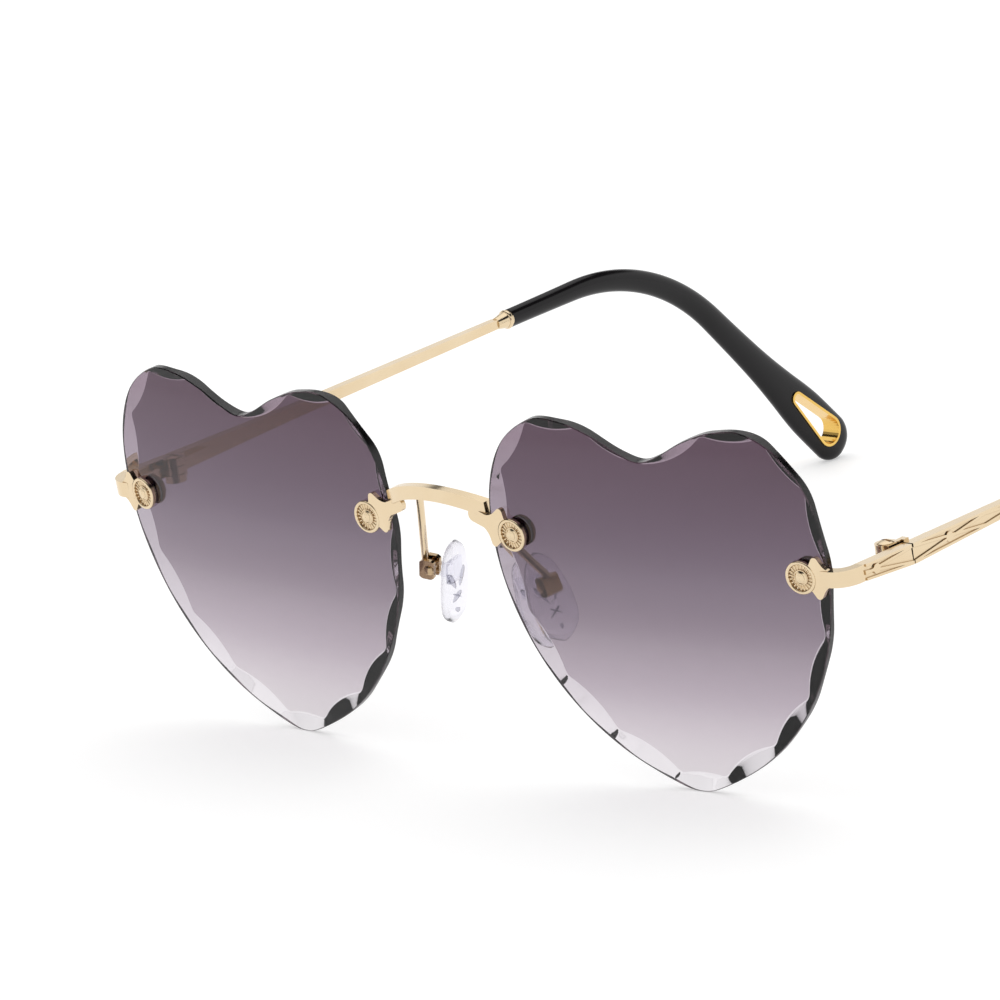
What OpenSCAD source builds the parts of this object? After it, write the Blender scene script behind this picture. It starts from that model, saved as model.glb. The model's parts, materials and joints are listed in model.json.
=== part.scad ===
// Rimless sunglasses with two heart-shaped lenses, gilt metal furniture and black temple tips.
// Millimetres, Z up, front towards -Y. The glasses stand on the lens points and on the temple tips,
// and the origin is on that surface, in the middle of the whole.

/* [Lens] */
// Width of one lens
lens_w = 58; // [50:0.5:66]
// Height of one lens, from the point to the tops of the lobes
lens_h = 54; // [46:0.5:62]
// Thickness of the lens
lens_t = 2; // [1.6:0.1:2.6]
// Radius of the sphere that the front face follows
base_r = 371; // [200:1:900]
// Clear distance between the two lenses at the nose
lens_gap = 19.2; // [15:0.1:24]
// Turn of each lens towards the temple, in degrees
wrap_deg = 4.2; // [0:0.1:7]

/* [Cut edge] */
// Scoops from the point of the heart up to its cleft, on each side of the half scoop at the point
scoops_per_side = 8; // [7:1:9]
// Width of the cut in the middle of a scoop, on the back face
scoop_w = 2.5; // [2.1:0.1:2.7]
// Slope of the cut against the back face, in degrees
scoop_deg = 25; // [20:1:28]
// Radius of the round wheel that leaves each scoop
scoop_r = 30; // [24:1:40]

/* [Lens mounts] */
// Distance of the nose mount from the inner edge of the lens
nose_mount_in = 4.4; // [3.6:0.1:6]
// Height of the nose mount above the middle of the lens
nose_mount_up = 9.5; // [6:0.1:13]
// Distance of the temple mount from the outer edge of the lens
temple_mount_in = 4.2; // [3.6:0.1:6]
// Height of the temple mount above the middle of the lens
temple_mount_up = 6.9; // [3:0.1:10]
// Diameter of the screw shank
screw_d = 1.4; // [1.2:0.05:1.6]
// Wall of the plastic sleeve round the screw
sleeve_wall = 0.45; // [0.35:0.05:0.6]
// Diameter of the rosette, which is the head of the screw
rosette_d = 4.8; // [4.4:0.1:5.6]
// Height of the rosette
rosette_h = 0.55; // [0.4:0.05:0.9]
// How deep the rosette is sunk in its plate
rosette_sink = 0.45; // [0.3:0.05:0.5]
// Number of flutes in the ring of the rosette
flutes = 20; // [12:1:28]
// Diameter of the washer behind the lens
washer_d = 4; // [3.6:0.1:4.6]
// Thickness of the washer
washer_t = 0.3; // [0.25:0.05:0.6]
// Diameter of the cap nut
nut_d = 4.4; // [3.6:0.1:4.8]
// Height of the cap nut
nut_h = 1.6; // [1.4:0.1:2.4]
// Number of grips round the nut
nut_grips = 12; // [8:1:16]
// Thickness of the plates on the front of the lens
plate_t = 0.75; // [0.65:0.05:1]
// Height of the pointed star beside each rosette
star_h = 6; // [5:0.1:7.5]

/* [Bridge] */
// Height of the bridge strip
bridge_h = 2; // [1.6:0.1:2.6]
// Thickness of the bridge strip
bridge_t = 1.3; // [1:0.1:1.8]
// Height of the strip's middle above the nose mounts
bridge_up = 5.5; // [4:0.1:7]
// How far the middle of the strip stands in front of its ends
bridge_bow = 2.1; // [1:0.1:3]
// Length of the leaf from the nose mount to its rounded end
leaf_len = 8; // [7:0.1:9]
// Height of the leaf
leaf_h = 2; // [1.6:0.1:2.4]
// Upward turn of the leaf, in degrees
leaf_deg = 20; // [12:1:24]

/* [End pieces] */
// Distance from the outer edge of the lens to the middle of the bar
end_out = 3.1; // [2.8:0.1:4.5]
// Distance of the joint line behind the lens plane
joint_back = 16; // [14:0.1:20]
// Height of the bar's middle above the middle of the lens, at the joint line
joint_up = 5.75; // [3:0.05:8]
// Height of the bar at the joint line
bar_h = 2.9; // [2.6:0.1:3.6]
// Height of the bar where it leaves its plate
neck_h = 2.3; // [2:0.1:2.8]
// Thickness of the bar
bar_t = 1.5; // [1.3:0.1:1.8]
// Clear distance between the lens edge and the start of the turn to the side
edge_clear = 0.2; // [0.15:0.05:0.6]

/* [Hinges] */
// Diameter of the hinge barrel
barrel_d = 3.1; // [2.8:0.1:3.6]
// Height of the hinge barrel
barrel_h = 3.6; // [3.4:0.1:5]
// Distance of the hinge pin in front of the joint line
pin_fore = 1.6; // [1.4:0.1:2]
// Diameter of the hinge screw
pin_d = 1.4; // [1.2:0.05:1.5]
// Length of each hinge leaf from the barrel
hinge_leaf_len = 6; // [5:0.1:8]
// Clear gap at the joint line
joint_gap = 0.25; // [0.2:0.05:0.4]
// Clear gap between the knuckles
knuckle_gap = 0.12; // [0.08:0.02:0.2]

/* [Temples] */
// Length of the metal bar from the joint line to the ferrule
bar_len = 69.7; // [60:0.1:80]
// Length of the bar behind the joint line over which it narrows quickly
bar_fore_len = 24; // [16:0.5:34]
// Height of the bar where that part ends
bar_mid_h = 1.9; // [1.7:0.1:2.5]
// Height of the bar at the ferrule
bar_end_h = 1.4; // [1.3:0.05:1.7]
// Thickness of the bar at the ferrule
bar_end_t = 1.2; // [1:0.1:1.5]
// Downward slope of the temples against the lens normal, in degrees
temple_deg = 3.4; // [0:0.1:6]
// Distance between the studs of the engraved pattern
stud_pitch = 15.3; // [12:0.1:20]
// Diameter of a stud
stud_d = 1.4; // [1.1:0.1:1.6]
// Height of the raised pattern over the bar
relief = 0.22; // [0.1:0.02:0.3]
// Width of a raised ribbon
ribbon_w = 0.35; // [0.25:0.05:0.45]

/* [Ferrule and tip] */
// Length of the ferrule between bar and tip
ferrule_len = 3; // [2.4:0.1:4]
// Diameter of the ferrule where it meets the tip
ferrule_d = 3; // [2.7:0.1:3.4]
// Diameter of the wire inside the tip
wire_d = 1.1; // [0.9:0.05:1.3]
// Length of that wire behind the ferrule
wire_len = 12; // [8:0.5:14]
// Straight length of the tip before its bend
tip_straight = 14.5; // [14:0.5:20]
// Radius of the bend over the ear
bend_r = 39.5; // [32:0.5:50]
// Angle of the bend, in degrees
bend_deg = 49; // [38:0.5:55]
// Length of the tip from the bend to its end
tip_drop = 39; // [34:0.5:46]
// Height of the tip at the ferrule
tip_h = 2.9; // [2.4:0.1:3.2]
// Thickness of the tip at the ferrule
tip_t = 2.4; // [2.2:0.1:3]
// Height of the flared end
flare_h = 7.7; // [7:0.1:9.5]
// Thickness of the flared end
flare_t = 3; // [2.6:0.1:3.6]

/* [Drop-shaped eyelet] */
// Length of the drop-shaped hole in the tip
drop_len = 12.6; // [10:0.1:13.5]
// Width of the hole at its round end
drop_w = 4.2; // [3.6:0.1:4.8]
// Width of the hole at its narrow end
drop_narrow = 1.5; // [1.2:0.1:2]
// Acetate left between the round end of the hole and the end of the tip
drop_end = 3.2; // [2.6:0.1:4.5]
// Wall of the metal liner
liner_wall = 0.4; // [0.3:0.05:0.6]
// How far the liner's lip stands over the acetate
lip = 0.15; // [0.1:0.05:0.3]

/* [Nose pads] */
// Distance of the pad pivots from the middle of the nose
pivot_x = 11.5; // [10.5:0.1:12.5]
// Distance of the pad pivots behind the lens plane
pivot_back = 6.7; // [6.2:0.1:8]
// Depth of the pad pivots below the middle of the lens
pivot_down = 1; // [-1:0.1:3]
// Length of a pad
pad_len = 13.2; // [11:0.1:15]
// Width of a pad
pad_w = 6.8; // [6:0.1:8]
// Thickness of a pad
pad_t = 2.9; // [2.4:0.1:3.1]
// Distance from the pivot to the middle of the pad's thickness
pad_off = 2.9; // [2.8:0.1:3.6]
// Distance of the pad's middle behind its pivot, along the screw
pad_back = 0.95; // [0:0.05:1.4]
// Distance of the pad's middle below its pivot
pad_low = 2.15; // [1.5:0.05:4]
// Outward lean of the lower end of a pad, in degrees
pad_splay = 14; // [6:1:20]
// Turn of the pad's face from straight back towards the nose, in degrees
pad_turn = 73; // [60:1:80]
// Diameter of the pad arm wire
arm_d = 1.1; // [0.9:0.05:1.3]
// Length of the arm's foot from the strip back to its bend
arm_foot = 2.6; // [1.8:0.1:4]
// Width of the pad box along its screw
box_w = 2.6; // [2.4:0.1:3.2]
// Depth of the pad box in front of its screw
box_fore = 1.5; // [1.4:0.05:1.8]
// Depth of the pad box behind its screw
box_aft = 0.75; // [0.65:0.05:0.9]
// Height of the pad box
box_h = 2.9; // [2.6:0.1:3.4]
// Thickness of the insert's tab in the box
tab_t = 1; // [0.8:0.05:1.2]
// Diameter of the pad screw
pad_screw_d = 0.9; // [0.7:0.05:1]

/* [Hidden] */

gilt = "#e6cfa0";
gilt_warm = "#d9ae4e";
tint = "#7d6f80";
acetate = "#161415";
silicone = "#e8ecf2";
nylon = "#d8d4cf";

// Overrun of every cut
over = 1;
// Radial clearance of screws and wires in their bores
fit = 0.03;
// Clearance between stacked flat and curved faces
seat = 0.02;
// Facets of small round pieces
fine = 48;
// Facets of the large circles that the lens faces follow
dome_fn = 1440;

// Heart outline
// Right half of the heart from its point to its cleft, as shares of half the width and half the height.
heart_shares = [
    [0, -1], [0.16, -0.955], [0.43, -0.803], [0.66, -0.592], [0.84, -0.325], [0.955, -0.02],
    [0.998, 0.29], [0.966, 0.6], [0.845, 0.845], [0.64, 0.985], [0.45, 0.985], [0.27, 0.925],
    [0.12, 0.845], [0, 0.805]];
half_w = lens_w / 2;
half_h = lens_h / 2;
heart_n = len(heart_shares);
// The same points with one mirrored neighbour at each end, so that both ends run level.
function heart_pt(i) =
    i < 0 ? [-half_w * heart_shares[1].x, half_h * heart_shares[1].y]
    : i >= heart_n ? [-half_w * heart_shares[heart_n - 2].x, half_h * heart_shares[heart_n - 2].y]
    : [half_w * heart_shares[i].x, half_h * heart_shares[i].y];
function spline(a, b, c, d, t) =
    ((2 * b) + (c - a) * t + (2 * a - 5 * b + 4 * c - d) * t * t + (3 * b - a - 3 * c + d) * t * t * t) / 2;
span_steps = 10;
heart_half = concat(
    [for (i = [0:heart_n - 2]) for (k = [0:span_steps - 1])
        spline(heart_pt(i - 1), heart_pt(i), heart_pt(i + 1), heart_pt(i + 2), k / span_steps)],
    [heart_pt(heart_n - 1)]);
half_count = len(heart_half);
run = [for (i = 0, s = 0; i < half_count;
    s = s + (i < half_count - 1 ? norm(heart_half[i + 1] - heart_half[i]) : 0), i = i + 1) s];
half_run = run[half_count - 1];
run_x = [for (i = [0:half_count - 1]) [run[i], heart_half[i].x]];
run_y = [for (i = [0:half_count - 1]) [run[i], heart_half[i].y]];
// Point of the outline at a distance from the lens point, counted along the rim, negative on the left.
function rim(s) = s < 0 ? [-lookup(-s, run_x), lookup(-s, run_y)] : [lookup(s, run_x), lookup(s, run_y)];
rim_step = half_run / half_count;
function rim_dir(s) =
    let (a = max(-half_run, s - rim_step), b = min(half_run, s + rim_step), d = rim(b) - rim(a)) d / norm(d);
function rim_out(s) = let (d = rim_dir(s)) [d.y, -d.x];

// Scoops
// Each cut is part of a round wheel whose axis points outwards, sloped to the front; cuts meet at ridges.
scoop_pitch = half_run / (scoops_per_side + 0.5);
// Band widths as shares, from the scoop at the point up to the one beside the cleft.
band_shares = [1, 1, 1, 1, 1, 0.95, 0.8, 0.75, 0.5];
function band_share(k) = lookup(abs(k) / scoops_per_side * (len(band_shares) - 1),
    [for (i = [0:len(band_shares) - 1]) [i, band_shares[i]]]);
rim_steps = 6;
rim_count = rim_steps * (2 * scoops_per_side + 1);
function rim_pt(k) = rim(-half_run + 2 * half_run * (k + 0.5) / rim_count);

// Lens placing
lens_cx = lens_gap / 2 + half_w * cos(wrap_deg);
dome_drop = (half_w * half_w + half_h * half_h) / (2 * base_r) + lens_t + over;
dome_rim = norm([half_w, half_h]) + over;
nose_u = nose_mount_in - half_w;
temple_u = half_w - temple_mount_in;
sleeve_d = screw_d + 2 * fit + 2 * sleeve_wall;
lens_hole_d = sleeve_d + 2 * fit;
stack_back = lens_t + 2 * seat + washer_t;

// Side bar
lens_out_x = lens_cx + half_w * cos(wrap_deg);
bar_x = lens_out_x + end_out;
function front_y(u) = u * sin(wrap_deg) + (u * u) / (2 * base_r);
mount_y = front_y(temple_u) + temple_mount_up * temple_mount_up / (2 * base_r);
mount_x = lens_cx + temple_u * cos(wrap_deg);
// Turn of the temple plate about Z, from the wrap and from the curve of the face
plate_deg = wrap_deg + asin(temple_u / base_r);
star_off = rosette_d / 2 + star_h / 24;
// One quarter of the star from its upper point to its side, as shares of half its height
star_shares = [[0, 1], [0.08, 0.985], [0.15, 0.93], [0.23, 0.8], [0.32, 0.66], [0.42, 0.54], [0.54, 0.44],
    [0.68, 0.36], [0.8, 0.32]];
pin_x = bar_x - bar_t / 2 - barrel_d / 2 - knuckle_gap;
pin_y = joint_back - pin_fore;
knuckle_h = (barrel_h - 2 * knuckle_gap) / 3;
leaf_t = barrel_d * 0.36;
hinge_leaf_h = bar_h * 0.6;
screw_head_d = barrel_d * 0.8;
screw_head_h = barrel_h / 9;

// Tip spine, in the temple's own frame: y runs back from the joint line, z up
tip_start = bar_len + ferrule_len;
bend_start = tip_start + tip_straight;
bend_len = bend_r * bend_deg * PI / 180;
tip_len = tip_straight + bend_len + tip_drop;
function tip_spine(s) =
    s <= tip_straight ? [tip_start + s, 0]
    : s <= tip_straight + bend_len
        ? let (a = (s - tip_straight) / bend_r * 180 / PI) [bend_start + bend_r * sin(a), -bend_r * (1 - cos(a))]
        : let (q = s - tip_straight - bend_len)
            [bend_start + bend_r * sin(bend_deg) + q * cos(bend_deg),
             -bend_r * (1 - cos(bend_deg)) - q * sin(bend_deg)];
function tip_angle(s) = min(bend_deg, max(0, (s - tip_straight) / bend_r * 180 / PI));
flare_r = flare_h / 2;
// Height of the tip along its length, as shares of the growth from the ferrule end to the flare.
flare_shares = [[0, 0], [0.12, 0.03], [0.3, 0.12], [0.42, 0.16], [0.55, 0.23], [0.68, 0.33], [0.76, 0.46],
    [0.83, 0.68], [0.88, 0.88], [0.92, 0.98], [1, 1]];
flare_end = tip_len - flare_r;
function grow(s) = lookup(min(s, flare_end) / flare_end, flare_shares);
function end_round(s) = s <= flare_end ? 1 : sqrt(max(0, 1 - pow((s - flare_end) / flare_r, 2)));
function end_thin(s) = s <= flare_end ? 1 : pow(max(0, 1 - pow((s - flare_end) / flare_r, 4)), 0.5);
function tip_half_h(s) = (tip_h + (flare_h - tip_h) * grow(s)) / 2 * end_round(s);
function tip_half_t(s) = (tip_t + (flare_t - tip_t) * grow(s)) / 2 * end_thin(s);
tip_rings = 30;
round_rings = 7;
end_stop_share = 0.985;
tip_sides = 20;
tip_square = 2.4;
tip_path = concat(
    [for (i = [0:tip_rings]) flare_end * i / tip_rings],
    [for (i = [1:round_rings]) flare_end + flare_r * end_stop_share * sin(90 * i / round_rings)]);

// Stance
// The lens point and the round tip end share one floor, which tilts the glasses forward.
temple_y0 = joint_back;
function temple_to_front(p) = [temple_y0 + p.x * cos(temple_deg) + p.y * sin(temple_deg),
    joint_up - p.x * sin(temple_deg) + p.y * cos(temple_deg)];
tip_centre = temple_to_front(tip_spine(flare_end));
lens_foot = [half_h * half_h / (2 * base_r), -half_h];
reach = tip_centre - lens_foot;
stand_deg = asin(flare_r / norm(reach)) - atan2(reach.y, reach.x);
lift = -(lens_foot.x * sin(stand_deg) + lens_foot.y * cos(stand_deg));
bridge_mid_y = -bridge_bow - bridge_t;
bridge_top = nose_mount_up + bridge_up + bridge_h / 2;
front_edge = bridge_mid_y * cos(stand_deg) - bridge_top * sin(stand_deg);
back_edge = tip_centre.x * cos(stand_deg) - tip_centre.y * sin(stand_deg) + flare_r;
mid_y = (front_edge + back_edge) / 2;

// Places the glasses on their floor.
module stand() {
    translate([0, -mid_y, lift]) rotate([stand_deg, 0, 0]) children();
}
module both_sides(side) {
    if (side < 0) mirror([1, 0, 0]) children();
    else children();
}
// Lens frame: x out to the temple, y up, z out of the front face at the lens centre.
module lens_frame() {
    translate([lens_cx, 0, 0]) rotate([0, 0, wrap_deg]) rotate([90, 0, 0]) children();
}
// Mount frame: z along the normal of the front face at a place of the lens.
module mount_frame(u, v) {
    tip_turn = -asin(v / base_r);
    side_turn = asin(u / (base_r * cos(tip_turn)));
    lens_frame()
        translate([0, 0, -base_r]) rotate([tip_turn, side_turn, 0]) translate([0, 0, base_r]) children();
}
module nose_frame() { mount_frame(nose_u, nose_mount_up) children(); }
module temple_mount_frame() { mount_frame(temple_u, temple_mount_up) children(); }
// Temple frame: x out to the side from the bar's middle, y back from the joint line, z up.
module temple_frame() {
    translate([bar_x, temple_y0, joint_up]) rotate([-temple_deg, 0, 0]) children();
}

// Lens
module dome_shell() {
    rotate_extrude($fn = 128) intersection() {
        difference() {
            translate([0, -base_r]) circle(base_r, $fn = dome_fn);
            translate([0, -base_r]) circle(base_r - lens_t, $fn = dome_fn);
        }
        translate([0, -dome_drop]) square([dome_rim, dome_drop + over]);
    }
}
module scoop(k) {
    s = k * scoop_pitch;
    band = scoop_w * band_share(k);
    out = rim_out(s);
    inner = rim(s) - band * out;
    sag = (inner.x * inner.x + inner.y * inner.y) / (2 * base_r);
    translate([inner.x, inner.y, -lens_t - sag]) rotate([0, 90 - scoop_deg, atan2(out.y, out.x)])
        translate([scoop_r, 0, -over]) cylinder(r = scoop_r, h = band / cos(scoop_deg) + 2 * over, $fn = 144);
}
module lens(side) {
    color(tint, 0.75) stand() both_sides(side) difference() {
        lens_frame() difference() {
            intersection() {
                dome_shell();
                translate([0, 0, -dome_drop]) linear_extrude(dome_drop + over)
                    polygon([for (k = [0:rim_count - 1]) rim_pt(k)]);
            }
            for (k = [-scoops_per_side:scoops_per_side]) scoop(k);
        }
        nose_frame() translate([0, 0, -lens_t - over]) cylinder(d = lens_hole_d, h = lens_t + 2 * over, $fn = fine);
        temple_mount_frame() translate([0, 0, -lens_t - over])
            cylinder(d = lens_hole_d, h = lens_t + 2 * over, $fn = fine);
    }
}

// Mount hardware, the same on all four mounts
module at_mount(which) {
    if (which == "nose") nose_frame() children();
    else temple_mount_frame() children();
}
rim_ring_d = min(rosette_d / 9, rosette_h);
flute_ring = rosette_d * 0.34;
flute_d = rosette_d / 14;
button_d = rosette_d * 0.4;
shank_len = plate_t - rosette_sink + stack_back + nut_h * 0.55;
module rosette(side, which) {
    color(gilt) stand() both_sides(side) at_mount(which) translate([0, 0, plate_t - rosette_sink + seat]) {
        difference() {
            union() {
                cylinder(d = rosette_d - rim_ring_d, h = rosette_h - rim_ring_d / 2, $fn = fine);
                rotate_extrude($fn = fine) translate([(rosette_d - rim_ring_d) / 2, 0])
                    square([rim_ring_d / 2, rosette_h - rim_ring_d / 2]);
                translate([0, 0, rosette_h - rim_ring_d / 2]) rotate_extrude($fn = fine)
                    translate([(rosette_d - rim_ring_d) / 2, 0]) circle(d = rim_ring_d, $fn = 24);
            }
            for (i = [0:flutes - 1]) rotate([0, 0, i * 360 / flutes])
                translate([flute_ring - flute_d * 1.6, 0, rosette_h - rim_ring_d / 2]) rotate([0, 90, 0])
                    cylinder(d = flute_d, h = flute_d * 2.6, $fn = 16);
        }
        translate([0, 0, rosette_h - rim_ring_d / 2]) intersection() {
            translate([0, 0, -button_d * 0.55]) sphere(button_d * 0.75, $fn = fine);
            cylinder(d = button_d, h = rosette_h, $fn = fine);
        }
        translate([0, 0, -shank_len]) cylinder(d = screw_d, h = shank_len + rim_ring_d, $fn = fine);
    }
}
module sleeve(side, which) {
    color(nylon) stand() both_sides(side) at_mount(which) translate([0, 0, -lens_t + seat]) difference() {
        cylinder(d = sleeve_d, h = lens_t - 2 * seat, $fn = fine);
        translate([0, 0, -over]) cylinder(d = screw_d + 2 * fit, h = lens_t + 2 * over, $fn = fine);
    }
}
module washer(side, which) {
    color(nylon) stand() both_sides(side) at_mount(which) translate([0, 0, -lens_t - seat - washer_t]) difference() {
        cylinder(d = washer_d, h = washer_t, $fn = fine);
        translate([0, 0, -over]) cylinder(d = screw_d + 2 * fit, h = washer_t + 2 * over, $fn = fine);
    }
}
grip_d = nut_d / 9;
module nut(side, which) {
    color(gilt_warm) stand() both_sides(side) at_mount(which) translate([0, 0, -stack_back]) rotate([180, 0, 0])
        difference() {
            intersection() {
                cylinder(d = nut_d, h = nut_h, $fn = fine);
                translate([0, 0, nut_h - nut_d * 0.6]) sphere(nut_d * 0.6, $fn = 64);
            }
            for (i = [0:nut_grips - 1]) rotate([0, 0, i * 360 / nut_grips])
                translate([nut_d / 2 + grip_d / 5, 0, -over]) cylinder(d = grip_d, h = nut_h + 2 * over, $fn = 16);
            translate([0, 0, -over]) cylinder(d = screw_d + 2 * fit, h = over + nut_h * 0.7, $fn = fine);
        }
}

// Star of concave sides, with blunt points up and down
module star() {
    up = star_h / 2;
    last = len(star_shares) - 1;
    polygon(concat(
        [for (i = [0:last]) up * star_shares[i]],
        [for (i = [last:-1:1]) [up * star_shares[i].x, -up * star_shares[i].y]],
        [for (i = [0:last]) -up * star_shares[i]],
        [for (i = [last:-1:1]) [-up * star_shares[i].x, up * star_shares[i].y]]));
}
plate_bore_d = screw_d + 2 * fit;
// Bore of a mount plate and the seat for the rosette round it
module plate_bore() {
    translate([0, 0, -over]) cylinder(d = plate_bore_d, h = plate_t + 2 * over, $fn = fine);
    translate([0, 0, plate_t - rosette_sink]) cylinder(d = rosette_d + 2 * seat, h = rosette_sink + over, $fn = fine);
}

// Bridge
bridge_half = lens_gap / 2 - joint_gap;
nose_mount_x = lens_cx + nose_u * cos(wrap_deg);
// The strip's ends run down behind the leaves by a quarter of the strip's height.
leaf_top_up = (nose_mount_x - bridge_half) * tan(leaf_deg) + leaf_h / 2;
bridge_rise = bridge_up - leaf_top_up - bridge_h / 4;
arch_r = (bridge_half * bridge_half + bridge_rise * bridge_rise) / (2 * bridge_rise);
bow_r = (bridge_half * bridge_half + bridge_bow * bridge_bow) / (2 * bridge_bow);
arch_top = nose_mount_up + bridge_up;
nose_face_y = front_y(nose_u) + nose_mount_up * nose_mount_up / (2 * base_r);
// The strip's ends lie against the backs of the leaves, sunk by a tenth of their thickness.
bow_end_y = nose_face_y + bridge_t / 2 - plate_t * 0.3;
bow_mid_y = bow_end_y - bridge_bow;
module nose_plate() {
    nose_frame() difference() {
        linear_extrude(plate_t) {
            circle(d = rosette_d * 0.9, $fn = fine);
            rotate(180 - leaf_deg) {
                translate([star_off, 0]) star();
                translate([0, -leaf_h / 2]) square([leaf_len - leaf_h / 2, leaf_h]);
                translate([leaf_len - leaf_h / 2, 0]) circle(d = leaf_h, $fn = fine);
            }
        }
        plate_bore();
    }
}
module bridge_strip() {
    intersection() {
        translate([0, bow_mid_y - bridge_bow, arch_top - arch_r]) rotate([90, 0, 0])
            translate([0, 0, -3 * bridge_bow - bridge_t])
            linear_extrude(4 * bridge_bow + 2 * bridge_t) difference() {
                circle(arch_r + bridge_h / 2, $fn = 180);
                circle(arch_r - bridge_h / 2, $fn = 180);
            }
        translate([0, bow_mid_y + bow_r, arch_top - bridge_rise - bridge_h])
            linear_extrude(bridge_rise + 2 * bridge_h) difference() {
                circle(bow_r + bridge_t / 2, $fn = 180);
                circle(bow_r - bridge_t / 2, $fn = 180);
            }
        translate([-bridge_half, bow_mid_y - bridge_t, arch_top - bridge_rise - bridge_h])
            cube([2 * bridge_half, bridge_bow + 2 * bridge_t, bridge_rise + 2 * bridge_h]);
    }
}
module bridge() {
    color(gilt) stand() {
        bridge_strip();
        nose_plate();
        mirror([1, 0, 0]) nose_plate();
    }
}

// End piece: plate on the lens, turn round its edge, and bar back to the joint line
neck_x = mount_x + (star_off + star_h * 0.12) * cos(plate_deg);
neck_y = mount_y + (star_off + star_h * 0.12) * sin(plate_deg) - plate_t / 2;
turn_r = end_out - edge_clear;
turn_cy = neck_y - plate_t / 2 + bar_t / 2 + turn_r;
turn_cx = bar_x - turn_r;
module bar_plan() {
    // Seen from above: x to the side, y back
    translate([neck_x, neck_y - plate_t / 2]) square([turn_cx - neck_x, plate_t]);
    intersection() {
        translate([turn_cx, turn_cy]) difference() {
            circle(turn_r + bar_t / 2, $fn = 96);
            circle(turn_r - bar_t / 2, $fn = 96);
        }
        translate([turn_cx, neck_y - bar_t]) square([turn_r + bar_t, turn_cy - neck_y + bar_t]);
    }
    translate([bar_x - bar_t / 2, turn_cy]) square([bar_t, joint_back - joint_gap / 2 - turn_cy]);
}
// The bar seen from the side, in front of the joint line: its middle climbs from the joint to the plate.
module end_side() {
    fore = neck_y - bar_t;
    polygon([[fore, temple_mount_up - neck_h / 2], [turn_cy, temple_mount_up - neck_h / 2],
        [joint_back, joint_up - bar_h / 2], [joint_back, joint_up + bar_h / 2],
        [turn_cy, temple_mount_up + neck_h / 2], [fore, temple_mount_up + neck_h / 2]]);
}
// Raised ribbons that cross at each stud and touch the borders half way between the studs.
// Along the first axis runs the length, from the stud's place; the second is height.
module lattice(first, last, at, halves) {
    for (i = [first:last]) {
        m = at + i * stud_pitch;
        a = m - stud_pitch / 2;
        b = m + stud_pitch / 2;
        ha = lookup(a, halves) - ribbon_w;
        hb = lookup(b, halves) - ribbon_w;
        translate([m, 0]) circle(d = stud_d, $fn = 24);
        for (flip = [-1, 1]) polygon([
            [a, flip * ha - ribbon_w / 2], [a, flip * ha + ribbon_w / 2],
            [b, -flip * hb + ribbon_w / 2], [b, -flip * hb - ribbon_w / 2]]);
    }
}
// Raised lines along both edges of a bar whose half height is listed along its length
module border(halves) {
    for (flip = [-1, 1]) polygon(concat(
        [for (p = halves) [p.x, flip * p.y]],
        [for (i = [len(halves) - 1:-1:0]) [halves[i].x, flip * (halves[i].y - ribbon_w)]]));
}
end_run = joint_back - joint_gap / 2 - turn_cy;
end_slope = atan2(temple_mount_up - joint_up, joint_back - turn_cy);
end_halves = [[0, bar_h / 2], [end_run, neck_h / 2]];
module end_relief() {
    translate([bar_x + bar_t / 2 - relief / 4, 0, 0]) rotate([90, 0, 90]) linear_extrude(relief + relief / 4)
        intersection() {
            translate([joint_back, joint_up]) rotate(180 - end_slope) {
                lattice(0, 0, stud_pitch / 2, end_halves);
                border(end_halves);
            }
            end_side();
            translate([turn_cy, temple_mount_up - bar_h - bar_t])
                square([end_run, 2 * bar_h + 2 * bar_t]);
        }
}
module end_piece(side) {
    color(gilt) stand() both_sides(side) {
        temple_mount_frame() difference() {
            linear_extrude(plate_t) {
                circle(d = rosette_d * 0.9, $fn = fine);
                translate([star_off, 0]) star();
                translate([0, -neck_h / 2]) square([star_off + star_h * 0.2, neck_h]);
            }
            plate_bore();
        }
        intersection() {
            translate([0, 0, joint_up - bar_h]) linear_extrude(2 * bar_h + temple_mount_up - joint_up) bar_plan();
            translate([neck_x - star_h, 0, 0]) rotate([90, 0, 90]) linear_extrude(star_h + bar_x - neck_x + bar_t)
                end_side();
        }
        end_relief();
    }
}

// Hinge, in the temple frame, so that its pin stands square to the bar
pin_dx = pin_x - bar_x;
pin_dy = -pin_fore;
pin_bore_d = pin_d + 2 * fit;
module knuckle(level) {
    translate([pin_dx, pin_dy, -barrel_h / 2 + level * (knuckle_h + knuckle_gap)])
        cylinder(d = barrel_d, h = knuckle_h, $fn = fine);
}
module hinge_bore() {
    translate([pin_dx, pin_dy, -barrel_h / 2 - over]) cylinder(d = pin_bore_d, h = barrel_h + 2 * over, $fn = fine);
}
leaf_x = -bar_t / 2 - leaf_t;
leaf_clear = barrel_d / 2 + knuckle_gap;
module hinge_front(side) {
    color(gilt) stand() both_sides(side) temple_frame() difference() {
        union() {
            knuckle(1);
            translate([leaf_x, pin_dy - barrel_d / 2, -barrel_h / 2 + knuckle_h + knuckle_gap])
                cube([leaf_t, barrel_d / 2, knuckle_h]);
            translate([leaf_x, pin_dy - leaf_clear - hinge_leaf_len, -hinge_leaf_h / 2])
                cube([leaf_t, hinge_leaf_len + leaf_clear - barrel_d / 2 + knuckle_gap, hinge_leaf_h]);
        }
        hinge_bore();
        // Room for the two outer knuckles
        for (level = [0, 2]) translate([pin_dx, pin_dy, -barrel_h / 2 + level * (knuckle_h + knuckle_gap) - knuckle_gap])
            cylinder(r = leaf_clear, h = knuckle_h + 2 * knuckle_gap, $fn = fine);
    }
}
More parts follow.
